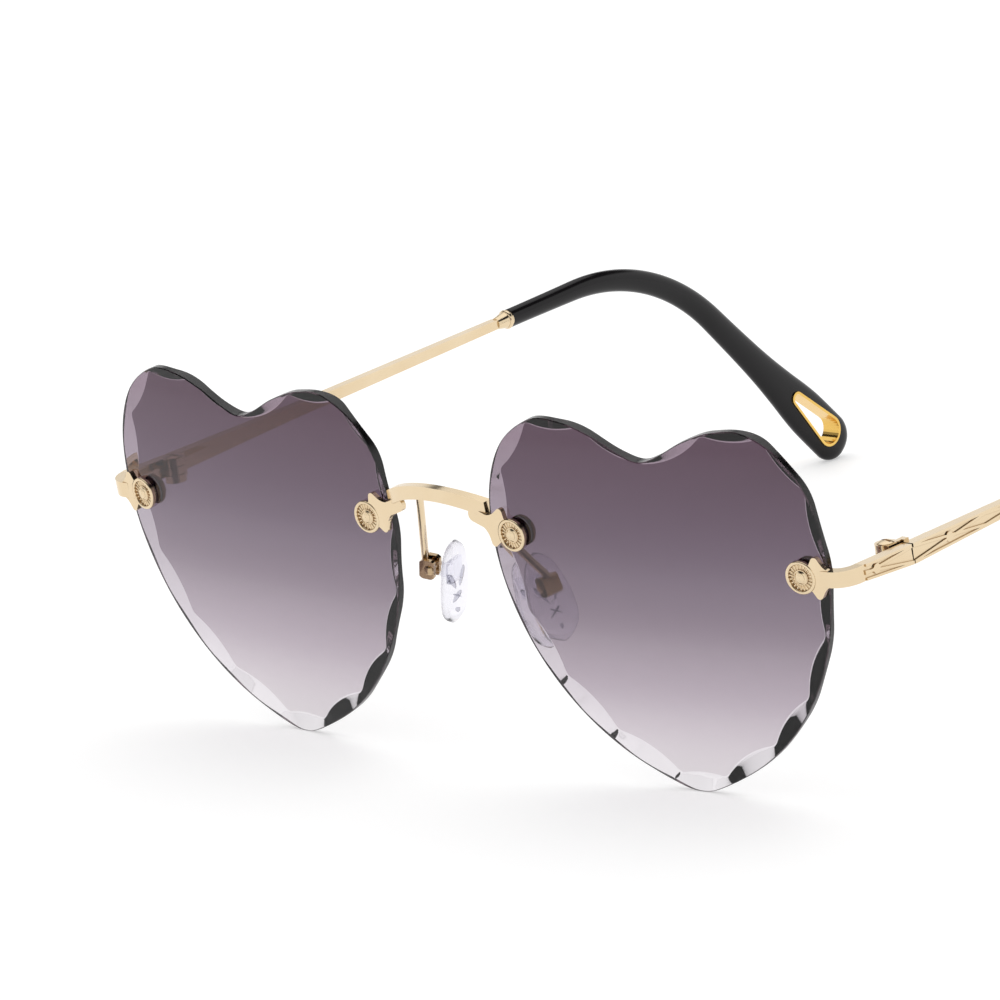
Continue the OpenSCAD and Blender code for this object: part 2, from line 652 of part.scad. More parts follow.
module hinge_temple(side) {
    color(gilt) stand() both_sides(side) temple_frame() difference() {
        union() {
            knuckle(0);
            knuckle(2);
            for (level = [0, 2]) translate([leaf_x, pin_dy, -barrel_h / 2 + level * (knuckle_h + knuckle_gap)])
                cube([leaf_t, leaf_clear + joint_gap, knuckle_h]);
            translate([leaf_x, pin_dy + leaf_clear, -barrel_h / 2]) cube([leaf_t, hinge_leaf_len / 5, barrel_h]);
            translate([leaf_x, pin_dy + leaf_clear, -hinge_leaf_h / 2]) cube([leaf_t, hinge_leaf_len, hinge_leaf_h]);
        }
        hinge_bore();
        translate([pin_dx, pin_dy, -barrel_h / 2 + knuckle_h]) cylinder(r = leaf_clear, h = knuckle_h + 2 * knuckle_gap,
            $fn = fine);
        // The part over the end piece would foul it
        translate([-bar_t / 2 - leaf_t / 3, pin_dy - barrel_d, -barrel_h]) cube([barrel_d, barrel_d + pin_fore + joint_gap, 2 * barrel_h]);
    }
}
module hinge_screw(side) {
    color(gilt) stand() both_sides(side) temple_frame() translate([pin_dx, pin_dy, 0]) {
        translate([0, 0, -barrel_h / 2]) cylinder(d = pin_d, h = barrel_h + seat + screw_head_h / 2, $fn = fine);
        translate([0, 0, barrel_h / 2 + seat]) difference() {
            intersection() {
                cylinder(d = screw_head_d, h = screw_head_h, $fn = fine);
                translate([0, 0, screw_head_h - screw_head_d]) sphere(screw_head_d, $fn = 64);
            }
            translate([-screw_head_d, -screw_head_d / 12, screw_head_h / 2])
                cube([2 * screw_head_d, screw_head_d / 6, screw_head_h]);
        }
    }
}

// Temple bar, ferrule, tip and eyelet, in the temple frame
bar_halves = [[0, bar_h / 2], [bar_fore_len, bar_mid_h / 2], [bar_len, bar_end_h / 2]];
module bar_side() {
    polygon([[joint_gap / 2, -bar_h / 2], [bar_fore_len, -bar_mid_h / 2], [bar_len, -bar_end_h / 2],
        [bar_len, bar_end_h / 2], [bar_fore_len, bar_mid_h / 2], [joint_gap / 2, bar_h / 2]]);
}
stud_last = floor((bar_len - stud_pitch / 2 - stud_d) / stud_pitch);
module temple_bar(side) {
    color(gilt) stand() both_sides(side) temple_frame() {
        intersection() {
            rotate([90, 0, 90]) translate([0, 0, -bar_t]) linear_extrude(2 * bar_t) bar_side();
            translate([0, 0, -bar_h]) linear_extrude(2 * bar_h) polygon([
                [-bar_t / 2, 0], [bar_t / 2, 0], [bar_end_t / 2, bar_len], [-bar_end_t / 2, bar_len]]);
        }
        side_turn = atan2((bar_t - bar_end_t) / 2, bar_len);
        translate([bar_t / 2, 0, 0]) rotate([0, 0, side_turn]) translate([-relief / 4, 0, 0])
            rotate([90, 0, 90]) linear_extrude(relief + relief / 4) intersection() {
                union() {
                    lattice(0, stud_last, stud_pitch / 2, bar_halves);
                    border(bar_halves);
                }
                bar_side();
            }
        translate([0, bar_len - wire_d, 0]) rotate([-90, 0, 0])
            cylinder(d = wire_d, h = wire_d + ferrule_len + wire_len, $fn = fine);
    }
}
module ferrule(side) {
    color(gilt) stand() both_sides(side) temple_frame() translate([0, bar_len + seat, 0]) rotate([-90, 0, 0])
        rotate_extrude($fn = fine) difference() {
            union() {
                polygon([[0, 0], [bar_end_h * 0.62, 0], [ferrule_d / 2 - ferrule_len / 12, ferrule_len * 0.62],
                    [ferrule_d / 2 - ferrule_len / 12, ferrule_len - seat * 2], [0, ferrule_len - seat * 2]]);
                translate([ferrule_d / 2 - ferrule_len / 8, ferrule_len * 0.8]) circle(ferrule_len / 8, $fn = 24);
                translate([bar_end_h * 0.62 - ferrule_len / 12, ferrule_len * 0.14]) circle(ferrule_len / 9, $fn = 24);
            }
            translate([-ferrule_d, -over]) square([ferrule_d + wire_d / 2 + fit, ferrule_len + 2 * over]);
        }
}
// A closed skin over rings of points, each ring with the same count.
module skin(rings) {
    n = len(rings[0]);
    m = len(rings);
    pts = concat([for (r = rings) each r],
        [[for (c = [0:2]) sum_of([for (p = rings[0]) p[c]]) / n], [for (c = [0:2]) sum_of([for (p = rings[m - 1]) p[c]]) / n]]);
    sides = [for (i = [0:m - 2]) for (j = [0:n - 1]) let (a = i * n + j, b = i * n + (j + 1) % n)
        each [[a, b, b + n], [a, b + n, a + n]]];
    first = [for (j = [0:n - 1]) [(j + 1) % n, j, m * n]];
    last = [for (j = [0:n - 1]) [(m - 1) * n + j, (m - 1) * n + (j + 1) % n, m * n + 1]];
    polyhedron(points = pts, faces = concat(sides, first, last));
}
function sum_of(v, i = 0) = i >= len(v) ? 0 : v[i] + sum_of(v, i + 1);
// Rounded oval: a squared ellipse of given half sizes
function oval(a, half_x, half_z, power) =
    let (c = cos(a), s = sin(a), r = pow(pow(abs(c), power) + pow(abs(s), power), -1 / power)) [half_x * r * c, half_z * r * s];
function tip_ring(s) =
    let (p = tip_spine(s), t = tip_angle(s), hh = tip_half_h(s), ht = tip_half_t(s),
        power = 2 + (tip_square - 2) * grow(s))
    [for (j = [0:tip_sides - 1])
        let (o = oval(j * 360 / tip_sides, ht, hh, power)) [o.x, p.x + o.y * sin(t), p.y + o.y * cos(t)]];
// Drop outline: long axis along x, the round end first, both ends round
drop_steps = 18;
module drop(extra) {
    r1 = drop_w / 2 + extra;
    r2 = drop_narrow / 2 + extra;
    span = drop_len - drop_w / 2 - drop_narrow / 2;
    a = acos((r1 - r2) / span);
    polygon(concat(
        [for (i = [0:drop_steps]) let (t = a + (360 - 2 * a) * i / drop_steps) [r1 * cos(t), r1 * sin(t)]],
        [for (i = [0:drop_steps / 2]) let (t = -a + 4 * a * i / drop_steps) [span + r2 * cos(t), r2 * sin(t)]]));
}
drop_at = tip_spine(tip_len - drop_end - drop_w / 2 - liner_wall);
module drop_frame() {
    translate([0, drop_at.x, drop_at.y]) rotate([-bend_deg, 0, 0]) rotate([90, 0, -90]) children();
}
module temple_tip(side) {
    color(acetate) stand() both_sides(side) temple_frame() difference() {
        skin([for (s = tip_path) tip_ring(s)]);
        drop_frame() translate([0, 0, -flare_t]) linear_extrude(2 * flare_t) drop(liner_wall + seat);
        translate([0, tip_start - over, 0]) rotate([-90, 0, 0])
            cylinder(d = wire_d + 2 * fit, h = over + wire_len + wire_d, $fn = fine);
    }
}
module eyelet(side) {
    half = flare_t / 2;
    color(gilt_warm) stand() both_sides(side) temple_frame() drop_frame() difference() {
        translate([0, 0, -half - lip]) linear_extrude(2 * half + 2 * lip) drop(liner_wall);
        translate([0, 0, -flare_t]) linear_extrude(2 * flare_t) drop(0);
    }
}

// Nose pads
// Pad frame: origin on the pad screw, x along the screw, y towards the nose, z up along the pad.
module pad_frame() {
    translate([pivot_x, pivot_back, -pivot_down]) rotate([0, -pad_splay, 0]) rotate([0, 0, pad_turn]) children();
}
function pad_to_front(p) =
    let (x = p.x * cos(pad_turn) - p.y * sin(pad_turn), y = p.x * sin(pad_turn) + p.y * cos(pad_turn))
    [pivot_x + x * cos(pad_splay) - p.z * sin(pad_splay), pivot_back + y,
     -pivot_down + x * sin(pad_splay) + p.z * cos(pad_splay)];
tab_r = pad_screw_d;
// Where the arm leaves the strip, as a share of half the gap between the lenses
arm_share = 0.54;
arm_top_x = lens_gap / 2 * arm_share;
arm_top = [arm_top_x, 0, arch_top - (arch_r - sqrt(arch_r * arch_r - arm_top_x * arm_top_x))];
// The arm is brazed: its foot is sunk in the back of the strip, and its end in the top of the pad box.
arm_foot_y = bow_mid_y + (bow_r - sqrt(bow_r * bow_r - arm_top.x * arm_top.x)) + bridge_t / 4;
module rod(a, b, d) {
    v = b - a;
    len_v = norm(v);
    translate(a) rotate([0, acos(v.z / len_v), atan2(v.y, v.x)]) cylinder(d = d, h = len_v, $fn = 32);
}
arm_elbow = [arm_top.x, arm_foot_y + arm_foot, arm_top.z - arm_d * 1.2];
arm_end = pad_to_front([0, -box_fore + arm_d / 3, box_h / 2 - arm_d / 3]);
module pad_arm(side) {
    foot = [arm_top.x, arm_foot_y, arm_top.z];
    color(gilt) stand() both_sides(side) {
        rod(foot, arm_elbow, arm_d);
        translate(arm_elbow) sphere(d = arm_d * 1.05, $fn = 32);
        rod(arm_elbow, arm_end, arm_d);
    }
}
module pad_box(side) {
    slot = tab_t + 2 * knuckle_gap;
    slot_fore = tab_r + knuckle_gap;
    color(gilt) stand() both_sides(side) pad_frame() difference() {
        intersection() {
            translate([-box_w / 2, -box_fore, -box_h / 2]) cube([box_w, box_fore + box_aft, box_h]);
            translate([-box_w, (box_aft - box_fore) / 2, 0]) rotate([0, 90, 0])
                cylinder(r = norm([box_fore + box_aft, box_h]) * 0.43, h = 2 * box_w, $fn = fine);
        }
        translate([-slot / 2, -slot_fore, -box_h]) cube([slot, slot_fore + box_aft + over, 2 * box_h]);
        translate([-box_w, 0, 0]) rotate([0, 90, 0]) cylinder(d = pad_screw_d + 2 * fit, h = 2 * box_w, $fn = 32);
    }
}
pad_head_d = pad_screw_d * 1.7;
module pad_screw(side) {
    color(gilt) stand() both_sides(side) pad_frame() {
        translate([box_w / 2, 0, 0]) rotate([0, -90, 0]) cylinder(d = pad_screw_d, h = box_w + seat + pad_screw_d / 4, $fn = 32);
        translate([-box_w / 2 - seat, 0, 0]) rotate([0, -90, 0]) intersection() {
            cylinder(d = pad_head_d, h = pad_screw_d / 2, $fn = 32);
            translate([0, 0, pad_screw_d / 2 - pad_head_d * 0.6]) sphere(pad_head_d * 0.6, $fn = 48);
        }
    }
}
flange_t = tab_t * 0.6;
flange_w = pad_w * 0.4;
flange_h = box_h * 1.15;
module pad_insert(side) {
    color(silicone) stand() both_sides(side) pad_frame() difference() {
        union() {
            rotate([0, 90, 0]) translate([0, 0, -tab_t / 2]) cylinder(r = tab_r, h = tab_t, $fn = 32);
            translate([-tab_t / 2, 0, -tab_r]) cube([tab_t, pad_off - flange_t / 2, 2 * tab_r]);
            translate([pad_back / 2 - flange_w / 2, pad_off - flange_t / 2, -flange_h / 2]) cube([flange_w, flange_t, flange_h]);
        }
        translate([-tab_t, 0, 0]) rotate([0, 90, 0]) cylinder(d = pad_screw_d + 2 * fit, h = 2 * tab_t, $fn = 32);
    }
}
// The pad's outline along its length, as shares of half its width; it is fuller below.
pad_width_shares = [[0, 0.3], [0.04, 0.5], [0.12, 0.76], [0.25, 0.95], [0.4, 1], [0.55, 0.96], [0.7, 0.84],
    [0.85, 0.66], [0.95, 0.46], [1, 0.26]];
pad_thick_shares = [[0, 0.3], [0.04, 0.55], [0.12, 0.82], [0.25, 0.97], [0.4, 1], [0.6, 1], [0.78, 0.93],
    [0.9, 0.76], [0.97, 0.52], [1, 0.28]];
pad_rings = 16;
pad_sides = 20;
module nose_pad(side) {
    color(silicone, 0.6) stand() both_sides(side) pad_frame() difference() {
        translate([pad_back, pad_off, -pad_low]) skin([for (i = [0:pad_rings])
            let (q = (1 - cos(180 * i / pad_rings)) / 2, w = pad_w / 2 * lookup(q, pad_width_shares),
                t = pad_t / 2 * lookup(q, pad_thick_shares))
            [for (j = [0:pad_sides - 1]) let (o = oval(j * 360 / pad_sides, w, t, 2)) [o.x, o.y, (q - 0.5) * pad_len]]]);
        translate([pad_back / 2 - flange_w / 2 - fit, pad_off - flange_t / 2 - fit, -flange_h / 2 - fit])
            cube([flange_w + 2 * fit, flange_t + 2 * fit, flange_h + 2 * fit]);
        translate([-tab_t / 2 - fit, 0, -tab_r - fit]) cube([tab_t + 2 * fit, pad_off, 2 * (tab_r + fit)]);
    }
}

lens(-1);  // lens_left
lens(1);  // lens_right
bridge();
end_piece(-1);  // end_piece_left
end_piece(1);  // end_piece_right
rosette(-1, "nose");  // rosette_nose_left
rosette(1, "nose");  // rosette_nose_right
rosette(-1, "temple");  // rosette_temple_left
rosette(1, "temple");  // rosette_temple_right
sleeve(-1, "nose");  // sleeve_nose_left
sleeve(1, "nose");  // sleeve_nose_right
sleeve(-1, "temple");  // sleeve_temple_left
sleeve(1, "temple");  // sleeve_temple_right
washer(-1, "nose");  // washer_nose_left
washer(1, "nose");  // washer_nose_right
washer(-1, "temple");  // washer_temple_left
washer(1, "temple");  // washer_temple_right
nut(-1, "nose");  // nut_nose_left
nut(1, "nose");  // nut_nose_right
nut(-1, "temple");  // nut_temple_left
nut(1, "temple");  // nut_temple_right
pad_arm(-1);  // pad_arm_left
pad_arm(1);  // pad_arm_right
pad_box(-1);  // pad_box_left
pad_box(1);  // pad_box_right
pad_screw(-1);  // pad_screw_left
pad_screw(1);  // pad_screw_right
pad_insert(-1);  // pad_insert_left
pad_insert(1);  // pad_insert_right
nose_pad(-1);  // nose_pad_left
nose_pad(1);  // nose_pad_right
hinge_front(-1);  // hinge_front_left
hinge_front(1);  // hinge_front_right
hinge_temple(-1);  // hinge_temple_left
hinge_temple(1);  // hinge_temple_right
hinge_screw(-1);  // hinge_screw_left
hinge_screw(1);  // hinge_screw_right
temple_bar(-1);  // temple_bar_left
temple_bar(1);  // temple_bar_right
ferrule(-1);  // ferrule_left
ferrule(1);  // ferrule_right
temple_tip(-1);  // temple_tip_left
temple_tip(1);  // temple_tip_right
eyelet(-1);  // eyelet_left
eyelet(1);  // eyelet_right
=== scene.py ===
"""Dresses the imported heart-shaped rimless sunglasses: lenses, gilding, acetate, pads and stage."""
import json
import math
from bisect import bisect_right

import bmesh
import bpy
from bpy.props import FloatProperty, FloatVectorProperty, IntProperty, PointerProperty
from mathutils import Matrix, Vector


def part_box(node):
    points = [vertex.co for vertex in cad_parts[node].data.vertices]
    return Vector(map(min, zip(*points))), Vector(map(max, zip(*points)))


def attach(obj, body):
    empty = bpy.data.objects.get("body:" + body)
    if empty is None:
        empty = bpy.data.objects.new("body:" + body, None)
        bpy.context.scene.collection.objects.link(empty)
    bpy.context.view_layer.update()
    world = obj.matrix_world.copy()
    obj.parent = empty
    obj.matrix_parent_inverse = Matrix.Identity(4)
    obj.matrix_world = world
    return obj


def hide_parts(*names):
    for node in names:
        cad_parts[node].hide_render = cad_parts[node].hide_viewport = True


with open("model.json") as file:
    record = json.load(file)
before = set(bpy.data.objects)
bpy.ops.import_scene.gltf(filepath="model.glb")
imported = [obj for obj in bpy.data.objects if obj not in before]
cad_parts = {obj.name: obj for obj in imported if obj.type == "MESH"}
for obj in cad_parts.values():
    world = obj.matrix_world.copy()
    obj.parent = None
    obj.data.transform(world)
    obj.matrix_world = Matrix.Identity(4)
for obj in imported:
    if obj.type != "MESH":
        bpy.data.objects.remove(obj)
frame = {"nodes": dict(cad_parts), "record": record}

bl_info = {
    "name": "Heart sunglasses dressing",
    "version": (1, 0, 0),
    "blender": (4, 5, 0),
    "location": "3D View > Sidebar > Sunglasses",
    "description": "Makes the lenses, pads, tips, finishes and stage",
    "category": "Object",
}

MM = 0.001
SIDES = {"left": -1, "right": 1}
NODES = frame["nodes"]

LENS_IOR = 1.5  # of the usual cast resin
COATED_IOR = 1.42  # of its coated faces, which mirror a little less
SILICONE_IOR = 1.2  # kept low, so that a pad stays pale
INSERT_IOR = 1.08  # lower still, as the insert lies in the silicone
ACETATE_IOR = 1.45

RECESS_SHADE_BROWN = (0.42, 0.29, 0.17)  # painted shade: the brown laid into the recesses of the gilding
RECESS_REACH = 0.3 * MM  # distance over which a recess is felt
FULL_SHADE_OPENNESS, SHADE_FREE_OPENNESS = 0.5, 0.97  # openness of a place where the painted shade is full, and where it ends
RECESS_SHADE_SHARE = 0.6  # share of the brown where the painted shade is full
NYLON_MILK = 0.3  # share of the light that goes into the nylon
NYLON_DEPTHS = (1.0 * MM, 0.8 * MM, 0.6 * MM)  # depth to which red, green and blue go in
WORN = 0.35  # share of the worn colour of the gilding in a smudge
CLOUD = 0.4  # share of the paler black of the acetate in a smudge
SMUDGE_EDGES = (0.35, 0.68)  # levels of the noise between which a smudge fades in
SMUDGE_SHARE = 0.7  # of the smudges in the swing of the roughness; the rubbing marks have the rest
# Polishes: swing of the roughness, rubbing marks and smudges per metre, strength and depth of the marks
POLISH = {
    "metal": (0.07, 2600.0, 160.0, 0.06, 0.02 * MM),
    "lens": (0.02, 900.0, 60.0, 0.0, 0.0),
    "edge": (0.03, 1500.0, 120.0, 0.0, 0.0),
    "clear": (0.06, 1800.0, 220.0, 0.05, 0.03 * MM),
    "acetate": (0.08, 1400.0, 120.0, 0.04, 0.03 * MM),
    "nylon": (0.1, 2000.0, 300.0, 0.0, 0.0),
}
SOFTENED = ("bridge", "end_piece", "temple_bar", "eyelet", "pad_box", "hinge_front", "hinge_temple",
            "ferrule", "nut")
SOFT_ANGLE = math.radians(35)  # edges sharper than this are rounded

# Right half of the heart from its point to its cleft, as shares of half its width and half its height
HEART_SHARES = (
    (0.0, -1.0), (0.16, -0.955), (0.43, -0.803), (0.66, -0.592), (0.84, -0.325), (0.955, -0.02),
    (0.998, 0.29), (0.966, 0.6), (0.845, 0.845), (0.64, 0.985), (0.45, 0.985), (0.27, 0.925), (0.12, 0.845),
    (0.0, 0.805),
)
# Width of each scoop from the point of the heart up to its cleft, as shares of the full width
BAND_SHARES = (1.0, 1.0, 1.0, 1.0, 1.0, 0.95, 0.8, 0.75, 0.5)
# Height of the tip along its length: place and growth, as shares of the length and of the flare
FLARE_SHARES = (
    (0.0, 0.0), (0.12, 0.03), (0.3, 0.12), (0.42, 0.16), (0.55, 0.23), (0.68, 0.33), (0.76, 0.46),
    (0.83, 0.68), (0.88, 0.88), (0.92, 0.98), (1.0, 1.0),
)
# Half width and half thickness of a nose pad along its length, as shares
PAD_WIDTH_SHARES = (
    (0.0, 0.3), (0.04, 0.5), (0.12, 0.76), (0.25, 0.95), (0.4, 1.0), (0.55, 0.96), (0.7, 0.84), (0.85, 0.66),
    (0.95, 0.46), (1.0, 0.26),
)
PAD_THICK_SHARES = (
    (0.0, 0.3), (0.04, 0.55), (0.12, 0.82), (0.25, 0.97), (0.4, 1.0), (0.6, 1.0), (0.78, 0.93), (0.9, 0.76),
    (0.97, 0.52), (1.0, 0.28),
)

# Ribs of the web in a pad: both ends as shares of half its width and length, thickness as one of its width
PAD_RIBS = (
    ((-0.15, -0.12), (-0.52, 0.30), 0.045), ((0.12, -0.12), (0.46, 0.30), 0.045),
    ((-0.30, -0.42), (0.22, -0.24), 0.028), ((0.26, -0.42), (-0.22, -0.24), 0.028),
    ((0.0, -0.72), (0.0, -0.60), 0.04),
)
RIB_TAPER = 0.25  # share of its thickness that a rib loses from its middle to its thin end
RIB_DEPTH = 0.2  # half depth of a rib, as a share of the pad's thickness
PAD_SQUARE = 2.2  # power of the oval of a pad: 2 is round, more is squarer
PAD_STUB = 0.02  # share left off at either end of a pad, and least share of its width there
PAD_END_POWER = 8  # how late the ends of a pad round off
TIP_SQUARE = 2.4  # power of the oval of the flared end
TIP_STUB = 0.9995  # share of the end's rounding that is made, so that the last ring isn't a point

TINTED, CUT, WALL = 0, 1, 2  # numbers of a lens's materials
# Heights of the five tints, as shares of the height of the lens
TINT_PLACES = (0.0, 0.22, 0.42, 0.62, 0.92)
RIM_STEP = 1 / 130  # span over which the rim's direction is taken, as a share of half the rim
HALVINGS = 30  # steps that find where a cut leaves the back face
GUARD = 0.3  # step to the ring that guards the back face, as a share of the inner polish
LEAST_WALL = 3  # least wall that a scoop leaves at the rim, in widths of the arris
LENS_MISS = 0.4 * MM  # most that a made lens may be off the solid one
DROP_PLAY = 0.02 * MM  # between the acetate and the liner of the hole

WHITE = (1.0, 1.0, 1.0)
FLOOR_RADIUS = 6.0
LAMP_PLACE = (-0.35, 0.25, 1.5)
LAMP_SIZE = 2.4
GAP_FADE = 0.12  # fade of the dark gap at both edges, as a sine of the height angle
CLIP = (0.05, 20.0)  # nearest and farthest that the camera sees


def mm_prop(name, text, value):
    return FloatProperty(name=name, description=text, default=value * MM, unit="LENGTH", precision=5)


def colour_prop(name, text, value):
    return FloatVectorProperty(name=name, description=text, default=value, min=0.0, max=1.0, subtype="COLOR")


def angle_prop(name, text, degrees):
    return FloatProperty(name=name, description=text, default=math.radians(degrees), unit="ROTATION")


def share_prop(name, text, value):
    return FloatProperty(name=name, description=text, default=value, min=0.0, max=1.0, subtype="FACTOR")


def level_prop(name, text, value):
    return FloatProperty(name=name, description=text, default=value, min=0.0)


def place_prop(name, text, value):
    metres = [v * MM for v in value]
    return FloatVectorProperty(name=name, description=text, default=metres, size=len(value), unit="LENGTH")


class LensSettings(bpy.types.PropertyGroup):
    width: mm_prop("Width", "Width of one lens", 58.0)
    height: mm_prop("Height", "Height of one lens from point to lobes", 54.0)
    thickness: mm_prop("Thickness", "Thickness of the lens", 2.0)
    base: mm_prop("Base radius", "Radius of the front face", 371.0)
    gap: mm_prop("Gap", "Clear distance between the lenses", 19.2)
    wrap: angle_prop("Wrap", "Turn of each lens towards the temple", 4.2)
    scoops: IntProperty(name="Scoops", description="Scoops beside the middle one", default=8, min=7, max=9)
    scoop_width: mm_prop("Scoop width", "Width of the cut in the middle of a scoop", 2.5)
    slope: angle_prop("Cut slope", "Slope of the cut against the back face", 25.0)
    wheel: mm_prop("Wheel radius", "Radius of the wheel that leaves each scoop", 30.0)
    ridge: mm_prop("Ridge polish", "Height over which two scoops blend inside", 0.4)
    rim_ridge: mm_prop("Rim polish", "The same at the rim", 1.5)
    ease: mm_prop("Inner polish", "Width of the rounding between cut and back face", 0.26)
    arris: mm_prop("Arris", "Width of the flat that breaks the front rim", 0.12)
    nose_mount: place_prop("Nose mount", "Nose screw from the inner edge and the middle", (4.4, 9.5))
    temple_mount: place_prop("Temple mount", "Temple screw from the outer edge and the middle", (4.2, 6.9))
    bore: mm_prop("Bore", "Diameter of the hole for a screw and its sleeve", 2.42)
    tint_top: colour_prop("Tint at the top", "Light passed near the top", (0.094, 0.055, 0.082))
    tint_high: colour_prop("Tint high up", "Light passed three fifths up", (0.164, 0.123, 0.163))
    tint_middle: colour_prop("Tint in the middle", "Light passed two fifths up", (0.292, 0.242, 0.288))
    tint_low: colour_prop("Tint low down", "Light passed a fifth up", (0.517, 0.457, 0.509))
    tint_bottom: colour_prop("Tint at the point", "Light passed at the point", (0.75, 0.71, 0.735))
    rim: colour_prop("Rim", "Light that the dark wall of the rim passes", (0.05, 0.028, 0.036))
    rim_roughness: share_prop("Rim roughness", "Roughness of the wall of the rim", 0.22)
    cut: colour_prop("Cut", "Light that the clear scoops pass", (0.93, 0.92, 0.94))
    cut_roughness: share_prop("Cut roughness", "Roughness of the scoops", 0.02)
    face_roughness: share_prop("Face roughness", "Roughness of the tinted faces", 0.015)


class MetalSettings(bpy.types.PropertyGroup):
    gilt: colour_prop("Gilt", "Colour of the pale gold plating", (0.79, 0.64, 0.435))
    gilt_worn: colour_prop("Worn gilt", "Colour of its smudges", (0.73, 0.55, 0.33))
    warm: colour_prop("Warm gilt", "Colour of the yellow gold plating", (0.84, 0.55, 0.15))
    warm_worn: colour_prop("Worn warm gilt", "Colour of its smudges", (0.70, 0.42, 0.10))
    # painted shade: the nuts' gilt is darkened to stand in for the dark surroundings they mirror behind the
    # lens
    browned: colour_prop("Nut gilt, painted dark", "Colour of the nuts", (0.30, 0.135, 0.075))
    nut_worn_painted_dark: colour_prop("Worn browned gilt", "Colour of its smudges", (0.14, 0.06, 0.035))
    # painted shade: the gilt of the pad boxes and screws is darkened to stand in for the dark surroundings
    # they mirror
    deep: colour_prop("Pad gilt, painted dark", "Colour of the pad boxes and screws", (0.52, 0.38, 0.23))
    pad_worn_painted_dark: colour_prop("Worn pad gilt, painted dark", "Colour of its smudges", (0.36, 0.24, 0.13))
    roughness: share_prop("Roughness", "Roughness of the pale and the yellow plating", 0.17)
    nut_gilt_roughness: share_prop("Nut gilt roughness", "Roughness of the nuts", 0.14)
    deep_roughness: share_prop("Deep roughness", "Roughness of the pad boxes and screws", 0.11)
    nylon: colour_prop("Nylon", "Colour of the sleeves and washers", (0.70, 0.66, 0.62))
    nylon_roughness: share_prop("Nylon roughness", "Roughness of the sleeves and washers", 0.4)
    softness: mm_prop("Edge softness", "Radius that polishing leaves on the edges", 0.12)


class TipSettings(bpy.types.PropertyGroup):
    acetate: colour_prop("Acetate", "Colour of the temple tips", (0.007, 0.006, 0.007))
    cloud: colour_prop("Cloud", "Colour of the smudges on the tips", (0.012, 0.011, 0.012))
    roughness: share_prop("Roughness", "Roughness of the polished acetate", 0.15)
    gleam: share_prop("Gleam", "Specular level of the acetate", 0.3)
    joint_back: mm_prop("Joint line", "Joint line behind the lens plane", 16.0)
    joint_up: mm_prop("Joint height", "Height of the bar at the joint line", 5.75)
    slope: angle_prop("Slope", "Downward slope of the temples", 3.4)
    start: mm_prop("Start", "Start of the tip from the joint line", 72.7)
    straight: mm_prop("Straight", "Straight length before the bend", 14.5)
    bend_radius: mm_prop("Bend radius", "Radius of the bend over the ear", 39.5)
    bend: angle_prop("Bend", "Angle of the bend", 49.0)
    drop: mm_prop("Drop", "Length from the bend to the end", 39.0)
    height: mm_prop("Height", "Height of the tip at the ferrule", 2.9)
    thickness: mm_prop("Thickness", "Thickness of the tip at the ferrule", 2.4)
    flare_height: mm_prop("Flared height", "Height of the flared end", 7.7)
    flare_thickness: mm_prop("Flared thickness", "Thickness of the flared end", 3.0)
    eye_length: mm_prop("Eyelet length", "Length of the drop-shaped hole", 12.6)
    eye_width: mm_prop("Eyelet width", "Width of the hole at its round end", 4.2)
    eye_narrow: mm_prop("Eyelet point", "Width of the hole at its narrow end", 1.5)
    eye_end: mm_prop("Eyelet end", "Acetate between hole and end of the tip", 3.2)
    liner: mm_prop("Liner", "Wall of the metal liner", 0.4)


class PadSettings(bpy.types.PropertyGroup):
    silicone: colour_prop("Silicone", "Light that the clear pads pass", (0.90, 0.89, 0.94))
    silicone_roughness: share_prop("Silicone roughness", "Roughness of the clear pads", 0.2)
    insert: colour_prop("Insert", "Light that the hard insert passes", (0.90, 0.90, 0.94))
    insert_roughness: share_prop("Insert roughness", "Roughness of the hard insert", 0.12)
    web: colour_prop("Web", "Light that the web passes", (0.64, 0.64, 0.69))
    web_roughness: share_prop("Web roughness", "Roughness of the web", 0.1)
    pivot: place_prop("Pivot", "Pad screw, out, back and up from the middle of the nose", (11.5, 6.7, -1.0))
    length: mm_prop("Length", "Length of a pad", 13.2)
    width: mm_prop("Width", "Width of a pad", 6.8)
    thickness: mm_prop("Thickness", "Thickness of a pad", 2.9)
    reach: mm_prop("Reach", "Middle of the pad from its pivot", 2.9)
    back: mm_prop("Back", "The same along its screw", 0.95)
    low: mm_prop("Low", "The same downwards", 2.15)
    splay: angle_prop("Splay", "Outward lean of the lower end", 14.0)
    turn: angle_prop("Turn", "Turn of the pad's face towards the nose", 73.0)


